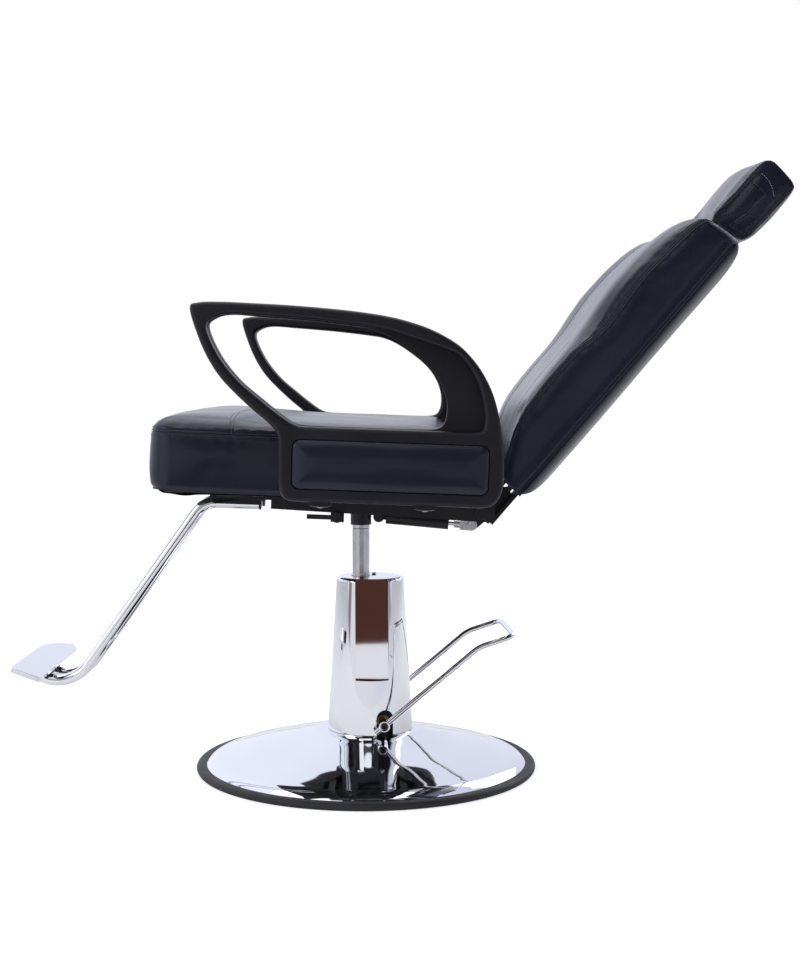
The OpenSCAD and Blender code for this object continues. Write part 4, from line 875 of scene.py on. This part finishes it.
def buildArm(name, node, mirror):
    points, faces = [], []

    def addPoints(outline, y):
        points.append(np.column_stack([outline[:, 0], np.full(len(outline), y), outline[:, 1]]))

    def addLoops(loops, flip):
        first = sum(len(p) for p in points)
        for outline, y in loops:
            addPoints(outline, y)
        quads = ringFaces(len(loops[0][0]), len(loops)) + first
        faces.extend(quads[:, ::-1] if flip else quads)

    def addFlat(loops, y, up):
        first = sum(len(p) for p in points)
        flat = np.concatenate(loops)
        addPoints(flat, y)
        tris = np.array(tessellate_polygon([[Vector((*p, 0)) for p in loop] for loop in loops]))
        area = np.cross(flat[tris[:, 1]] - flat[tris[:, 0]], flat[tris[:, 2]] - flat[tris[:, 0]])
        tris = np.where((area > 0)[:, None] == up, tris[:, ::-1], tris)
        faces.extend((tris + first)[np.abs(area) > 1e-6])

    low, high = arm["inner"], arm["inner"] + arm["thick"]
    step, sunk = high - arm["rim"], high - arm["panel"]["sink"]
    outer, rim = closedCurve(arm["outline"], 8), closedCurve(arm["rimHole"], 8)
    web = softlyIn(closedCurve(arm["webHole"], 8), arm["lip"])
    p = arm["panel"]
    wider = np.array([-p["gap"], p["gap"]])
    recess = roundedRectangle(*(p["u"] + wider), *(p["w"] + wider), p["corner"])
    e, webEdge, recessEdge = arm["edge"], arm["webEdge"], arm["recessEdge"]
    addLoops(roundedEdge(outer, 1, low, 1, e) + roundedEdge(outer, 1, high, -1, e)[::-1], True)
    addLoops(roundedEdge(web, -1, low, 1, e) + roundedEdge(web, -1, step, -1, webEdge, 4)[::-1], False)
    addLoops([(rim, step)] + roundedEdge(rim, -1, high, -1, e)[::-1], False)
    addLoops([(recess, sunk)] + roundedEdge(recess, -1, high, -1, recessEdge, 4)[::-1], False)
    faceLoop = softlyIn(outer, e)
    addFlat([faceLoop, softlyIn(web, -e)], low, False)
    addFlat([rim, softlyIn(web, -webEdge)], step, True)
    addFlat([faceLoop, softlyIn(rim, -e), softlyIn(recess, -recessEdge)], high, True)
    addFlat([recess], sunk, True)
    solid = bmesh.new()
    place = inSeat(np.concatenate(points) * [1, -1 if mirror else 1, 1])
    verts = [solid.verts.new(q) for q in place]
    for f in faces:
        corner = [verts[i] for i in (f[::-1] if mirror else f)]
        if not solid.faces.get(corner):
            solid.faces.new(corner)
    bmesh.ops.remove_doubles(solid, verts=solid.verts, dist=1e-6)
    mesh = bpy.data.meshes.new(name)
    solid.to_mesh(mesh)
    solid.free()
    piece = addPiece(name, mesh, plastic, 38)
    even = piece.modifiers.new("even", "WEIGHTED_NORMAL")
    even.keep_sharp, even.weight = True, 80
    tellFrame(piece, "chair", [node])


def buildPanel(name, node, mirror):
    p = arm["panel"]
    halfU, halfW = (p["u"][1] - p["u"][0]) / 2, (p["w"][1] - p["w"][0]) / 2
    us = spread(-halfU, halfU, lambda v: np.where(np.abs(v) > halfU - 14, 0.9, 3.2))
    ws = spread(-halfW, halfW, lambda v: np.where(np.abs(v) > halfW - 14, 0.9, 2.4))
    rows = spread(*p["rows"], lambda v: np.full_like(v, 0.8))
    u, w, y, quads, onTop, _ = padForm(us, ws, rows, p["side"], p["crown"], p["corner"])
    wave = 0.25 * np.sin(u / 27 + 1) * np.sin(w / 13) * clamped((halfW - np.abs(w)) / 12)
    y = y + np.where(onTop, wave, 0)
    u, w = u + sum(p["u"]) / 2, w + sum(p["w"]) / 2
    y = y + arm["inner"] + arm["thick"] - p["sink"]
    points = inSeat(np.stack([u, y * (-1 if mirror else 1), w], -1))
    faces = quads if mirror else quads[:, ::-1]
    panel = makePiece(name, points, faces, leather, "chair", [node])


for build, piece in ((buildArm, "arm"), (buildPanel, "panel")):
    build(piece + "Near", piece + "_left", True)
    build(piece + "Far", piece + "_right", False)
print("arms ready")

# Lining under the seat: stapled cloth that sags between the frame's tubes and plates, each given by its middle
sheet = {"u": (-288.0, 131.0), "y": 286.0, "level": 38.4, "sag": 2.5, "turnedUp": 3.8,
         "rails": 100, "railsFrom": -235, "crossTubes": (-100, 110), "frontTube": -225, "halfTube": 10,
         "plates": 232, "platesFrom": -127, "halfPlate": 3}


def buildLining():
    (front, rear), wide = sheet["u"], sheet["y"]
    us, ys = np.linspace(front, rear, 120), np.linspace(-wide, wide, 150)
    u, y = np.meshgrid(us, ys, indexing="ij")
    # Distance to the nearest piece that holds the cloth; a piece that ends is left behind by up to 99
    pastRails, pastPlates = np.clip(sheet["railsFrom"] - u, 0, 99), np.clip(sheet["platesFrom"] - u, 0, 99)
    held = np.minimum.reduce([
        np.abs(np.abs(y) - sheet["rails"]) - sheet["halfTube"] + pastRails,
        *[np.abs(u - tube) - sheet["halfTube"] for tube in sheet["crossTubes"]],
        np.abs(u - sheet["frontTube"]) - sheet["halfTube"] + np.clip(np.abs(y) - sheet["rails"], 0, 99),
        np.abs(np.abs(y) - sheet["plates"]) - sheet["halfPlate"] + pastPlates])
    free = clamped(held / 28)
    edge = clamped(np.minimum(np.minimum(u - front, rear - u), wide - np.abs(y)) / 12)
    wave = 0.6 + 0.25 * np.sin(u / 9 + y / 31) + 0.25 * np.sin(y / 7.3 - u / 23)
    drop = sheet["sag"] * free ** 2 * (0.35 + 0.65 * edge) * wave
    drop += 2.5 * hump(u + 252, 17) * hump(np.abs(y) - 284, 14) * free
    count = (len(us), len(ys))
    lift = sheet["turnedUp"] * clamped((-280.6 - u) / 7.4)      # the front edge turns up round the board
    points = inSeat(np.stack([u, y, sheet["level"] + lift - drop], -1).reshape(-1, 3))
    g = np.arange(count[0] * count[1]).reshape(count)
    quads = np.stack([g[:-1, :-1], g[1:, :-1], g[1:, 1:], g[:-1, 1:]], -1).reshape(-1, 4)
    cloth = makePiece("seatLining", points, quads, lining, "chair", ["dust_cover"])
    solid = cloth.modifiers.new("thickness", "SOLIDIFY")
    solid.thickness, solid.offset = 0.0006, 0


buildLining()


# Points of a profile turned about an upright axis
def turned(r, z, sides):
    turn = np.arange(sides) / sides * 2 * pi
    r, z = np.asarray(r)[:, None], np.asarray(z)[:, None]
    z = np.broadcast_to(z, (len(z), sides))
    return np.stack([r * np.cos(turn), r * np.sin(turn), z], -1).reshape(-1, 3)


# Base dome: a profile of (radius, height) turned about the base's middle, with a rim that turns under
dome = {"middle": 8.4, "thick": 2.0, "rim": (263.8, 9.6), "sides": 256,
        "profile": [(0, 66), (74, 66), (82, 65.6), (100, 60.8), (130, 52.4), (155, 46), (180, 40), (210, 32),
                    (235, 25.2), (248, 21.5), (258, 16.5), (264, 11.2)]}


def buildDome():
    r = spread(0.5, dome["profile"][-1][0], lambda v: np.where((v > 70) & (v < 95), 1.2, 3.0))
    z = curveThrough(dome["profile"], r)
    r = np.concatenate([r, [dome["rim"][0]], r[::-1] - 0.4])
    z = np.concatenate([z, [dome["rim"][1]], z[::-1] - dome["thick"]])
    points = turned(np.maximum(r[::-1], 0.3), z[::-1], dome["sides"]) + [dome["middle"], 0, 0]
    makePiece("dome", inBase(points), rodFaces(dome["sides"], len(r)), chrome, "base",
              ["base_dome"], sharp=50)


buildDome()


# A round rod bent along a course of straight runs and bends: (length,) or (radius, degrees, towards)
def rodCourse(start, way, course, step=3.0):
    place, way = np.array(start, float), unit(np.array(way, float))
    points, ways = [place], [way]
    for part in course:
        if len(part) == 1:
            count = max(2, int(part[0] / 12))
            for k in range(1, count + 1):
                points.append(place + way * part[0] * k / count)
                ways.append(way)
            place = points[-1]
        else:
            radius, degrees, towards = part
            towards = np.array(towards, float)
            towards = unit(towards - way * (towards @ way))
            count = max(6, int(radius * radians(degrees) / step))
            t = np.radians(np.linspace(0, degrees, count + 1))[1:, None]
            points.extend(place + radius * (np.sin(t) * way + (1 - np.cos(t)) * towards))
            ways.extend(np.cos(t) * way + np.sin(t) * towards)
            place, way = points[-1], ways[-1]
    return np.array(points), np.array(ways)


# A round rod along a path, with its two end edges broken
def buildRod(name, points, ways, radius, toWorld, body, hides, sides=28, bevel=0.6):
    side = np.zeros_like(points)
    start = np.array([0, 1.0, 0]) if abs(ways[0][1]) < 0.9 else np.array([1.0, 0, 0])
    for i, way in enumerate(ways):                       # the side vector goes along the path without twist
        start = unit(start - way * (start @ way))
        side[i] = start
    up = np.cross(ways, side)
    again = np.r_[0, 0:len(points), len(points) - 1]     # each end comes twice, and its inner ring steps in
    points, ways, side, up = (v[again] for v in (points, ways, side, up))
    points[1] += ways[1] * bevel
    points[-2] -= ways[-2] * bevel
    radii = np.full(len(points), radius)
    radii[[0, -1]] = radius - bevel
    turn = (np.arange(sides) / sides * 2 * pi)[None, :, None]
    ring = points[:, None] + radii[:, None, None] * (np.cos(turn) * side[:, None] + np.sin(turn) * up[:, None])
    makePiece(name, toWorld(ring.reshape(-1, 3)), rodFaces(sides, len(points)), chrome, body, hides,
              sharp=40)


# Footrest tubes: from the bracket's end forward, down the slope, and back past level at the knee
foot = {"radius": 9.5, "gap": 62, "end": -164.0, "level": 4.5, "vertex": -256.0, "bend": 45.0, "slope": 54.6,
        "knee": 62.0, "past": 20, "kneeHeight": 149.5, "tail": 11.0}


def buildFootTubes():
    slope, steep = foot["slope"], foot["slope"] + chair["tilt"]
    drop = chair["height"] + foot["level"] - foot["vertex"] * sin(radians(chair["tilt"])) - foot["kneeHeight"]
    cutUp = foot["bend"] * tan(radians(steep / 2))
    cutDown = foot["knee"] * tan(radians(slope / 2))
    for side, name, node in ((-1, "footTubeNear", "footrest_tube_left"),
                             (1, "footTubeFar", "footrest_tube_right")):
        points, ways = rodCourse((foot["end"], side * foot["gap"] / 2, foot["level"]), (-1, 0, 0), [
            (foot["end"] - foot["vertex"] - cutUp,), (foot["bend"], steep, (0, 0, -1)),
            (drop / sin(radians(slope)) - cutUp - cutDown,), (foot["knee"], slope + foot["past"], (-1, 0, 1)),
            (foot["tail"],)])
        buildRod(name, points, ways, foot["radius"], inSeat, "chair", [node])


# Pedal bar: from one hub forward, flatter after a bend, across at the front, and back to the other hub
pedal = {"shaft": (33.0, 85.0), "half": 81.0, "radius": 4.5, "rise": 39.5, "flat": 17.5, "end": 60.0,
         "corner": 16.0, "bend": 60.0, "reach": 210.0, "stub": 18}


def buildPedal():
    p, rise = pedal, radians(pedal["rise"])
    turn = p["rise"] - p["flat"]
    cut = p["bend"] * tan(radians(turn / 2))
    run = (p["reach"] - p["end"] * cos(radians(p["flat"]))) / cos(rise) - cut
    way = np.array([cos(rise), 0, sin(rise)])
    start = np.array([p["shaft"][0], -p["half"], p["shaft"][1]])
    points, ways = rodCourse(start - way * p["stub"], way, [
        (p["stub"] + run,), (p["bend"], turn, (way[2], 0, -way[0])), (p["end"] - cut - p["corner"],),
        (p["corner"], 90, (0, 1, 0)), (p["half"] - p["corner"],)])
    points = np.concatenate([points, points[-2::-1] * [1, -1, 1]])
    ways = np.concatenate([ways, ways[-2::-1] * [-1, 1, -1]])
    buildRod("pedalBar", points, ways, p["radius"], inBase, "pedal", ["pedal_bar"], 24)


buildFootTubes()
buildPedal()
print("rods ready")

# Dished washers under the arm bolts: a profile of (radius, depth) turned about each bolt
washer = {"u": (-47.0, 103.0), "y": 335.5, "seat": 33.0, "sides": 40,
          "profile": [(7, 0), (16.2, 0), (16.6, -0.5), (16.2, -1.1), (12, -2.6), (7, -3.4), (7, 0)]}


def buildWashers():
    one = turned(*np.array(washer["profile"]).T, washer["sides"])
    places = [(u, side * washer["y"], washer["seat"]) for u in washer["u"] for side in (-1, 1)]
    quads = ringFaces(washer["sides"], len(washer["profile"]))
    faces = np.concatenate([quads + k * len(one) for k in range(len(places))])
    points = np.concatenate([one + place for place in places])
    makePiece("boltWashers", inSeat(points), faces, blackSteel, "chair", sharp=40)


buildWashers()

# The other rigid pieces: copies with their edges broken, (bevel in millimetres, steps)
bevels = {"base_ring": (0, 0), "pump_cover": (1.1, 3), "ram": (0.8, 2), "foot_plate": (1.6, 3),
          "headrest_posts": (0.5, 2), "pedal_hubs": (0.8, 2), "seat_frame": (1.2, 2), "cross_tubes": (1.2, 2),
          "side_plate_left": (0.6, 2), "side_plate_right": (0.6, 2), "swivel_hub": (0.6, 2),
          "footrest_bracket": (0.6, 2), "foot_bracket": (0.6, 2), "back_frame": (0.6, 2),
          "gas_cylinder": (0.8, 2), "gas_rod": (0.2, 1), "gas_clevis": (0.5, 2), "release_blade": (0.5, 2),
          "release_shaft": (0.3, 1), "pump_body": (0.8, 2), "gland_nut": (0.8, 2), "base_bolts": (0.6, 2),
          "hub_bolts": (0.6, 2), "arm_bolts": (0.3, 1), "bracket_bolts": (0.5, 2),
          "foot_plate_studs": (0.5, 2), "hinge_pins": (0.7, 2), "gas_front_pin": (0.4, 2),
          "gas_rear_pin": (0.5, 2), "headrest_sleeves": (0.5, 2), "pedal_shaft": (0.4, 1),
          "pedal_screws": (0.4, 2), "cover_screw": (0.2, 1), "tube_plugs": (0.6, 2), "base_plate": (0.5, 1)}
cover = {"axis": 15.0, "taper": 0.0594}
satinNodes = {"ram", "headrest_posts"}
blackNodes = {"hinge_pins", "gas_front_pin", "release_blade"}


# The cover's cone gets normals worked out from its taper, and its flat pockets keep one normal each
def straighten(piece):
    mesh = madeMesh(piece)
    piece.modifiers.clear()
    piece.data = mesh
    faceCount = len(mesh.polygons)
    way, centre, sizes = np.empty(faceCount * 3), np.empty(faceCount * 3), np.empty(faceCount, np.int32)
    corner = np.empty(len(mesh.loops), np.int32)
    mesh.polygons.foreach_get("normal", way)
    mesh.polygons.foreach_get("center", centre)
    mesh.polygons.foreach_get("loop_total", sizes)
    mesh.loops.foreach_get("vertex_index", corner)
    way, centre = way.reshape(-1, 3) @ baseTurn, centre.reshape(-1, 3) @ baseTurn
    place = placesOf(mesh) @ baseTurn

    def coneWay(points):
        out = unit(points[:, :2] - [cover["axis"] * 0.001, 0])
        return unit(np.column_stack([out, np.full(len(out), cover["taper"])]))

    onCone = (way * coneWay(centre)).sum(1) > cos(radians(4))
    flat = np.abs(way[:, 1]) > 0.9995
    normal = np.where(np.repeat(onCone, sizes)[:, None], coneWay(place[corner]), 0)
    normal = np.where(np.repeat(flat, sizes)[:, None], np.repeat(way, sizes, 0), normal) @ baseTurn.T
    mesh.normals_split_custom_set(normal.tolist())


def refine(node, width, steps):
    mesh = nodes[node].data.copy()
    form = bmesh.new()
    form.from_mesh(mesh)
    bmesh.ops.remove_doubles(form, verts=form.verts, dist=2e-6)
    bmesh.ops.dissolve_degenerate(form, dist=2e-6, edges=form.edges)
    bmesh.ops.dissolve_limit(form, angle_limit=radians(0.6), verts=form.verts, edges=form.edges)
    form.to_mesh(mesh)
    form.free()
    first, *rest = node.split("_")
    name = first + "".join(word.capitalize() for word in rest)
    mesh.name = name
    mesh.materials.clear()
    slot = "black_steel" if node in blackNodes else slotOf[node]
    piece = addPiece(name, mesh, satinChrome if node in satinNodes else finishOf[slot], 32)
    if width:
        bevel = piece.modifiers.new("edges", "BEVEL")
        bevel.width, bevel.segments, bevel.limit_method = width * 0.001, steps, "ANGLE"
        bevel.angle_limit, bevel.use_clamp_overlap, bevel.harden_normals = radians(32), True, True
    if node == "pump_cover":
        straighten(piece)
    tellFrame(piece, bodyOf[node], [node])


for node, (width, steps) in bevels.items():
    refine(node, width, steps)
print("rigid pieces ready")
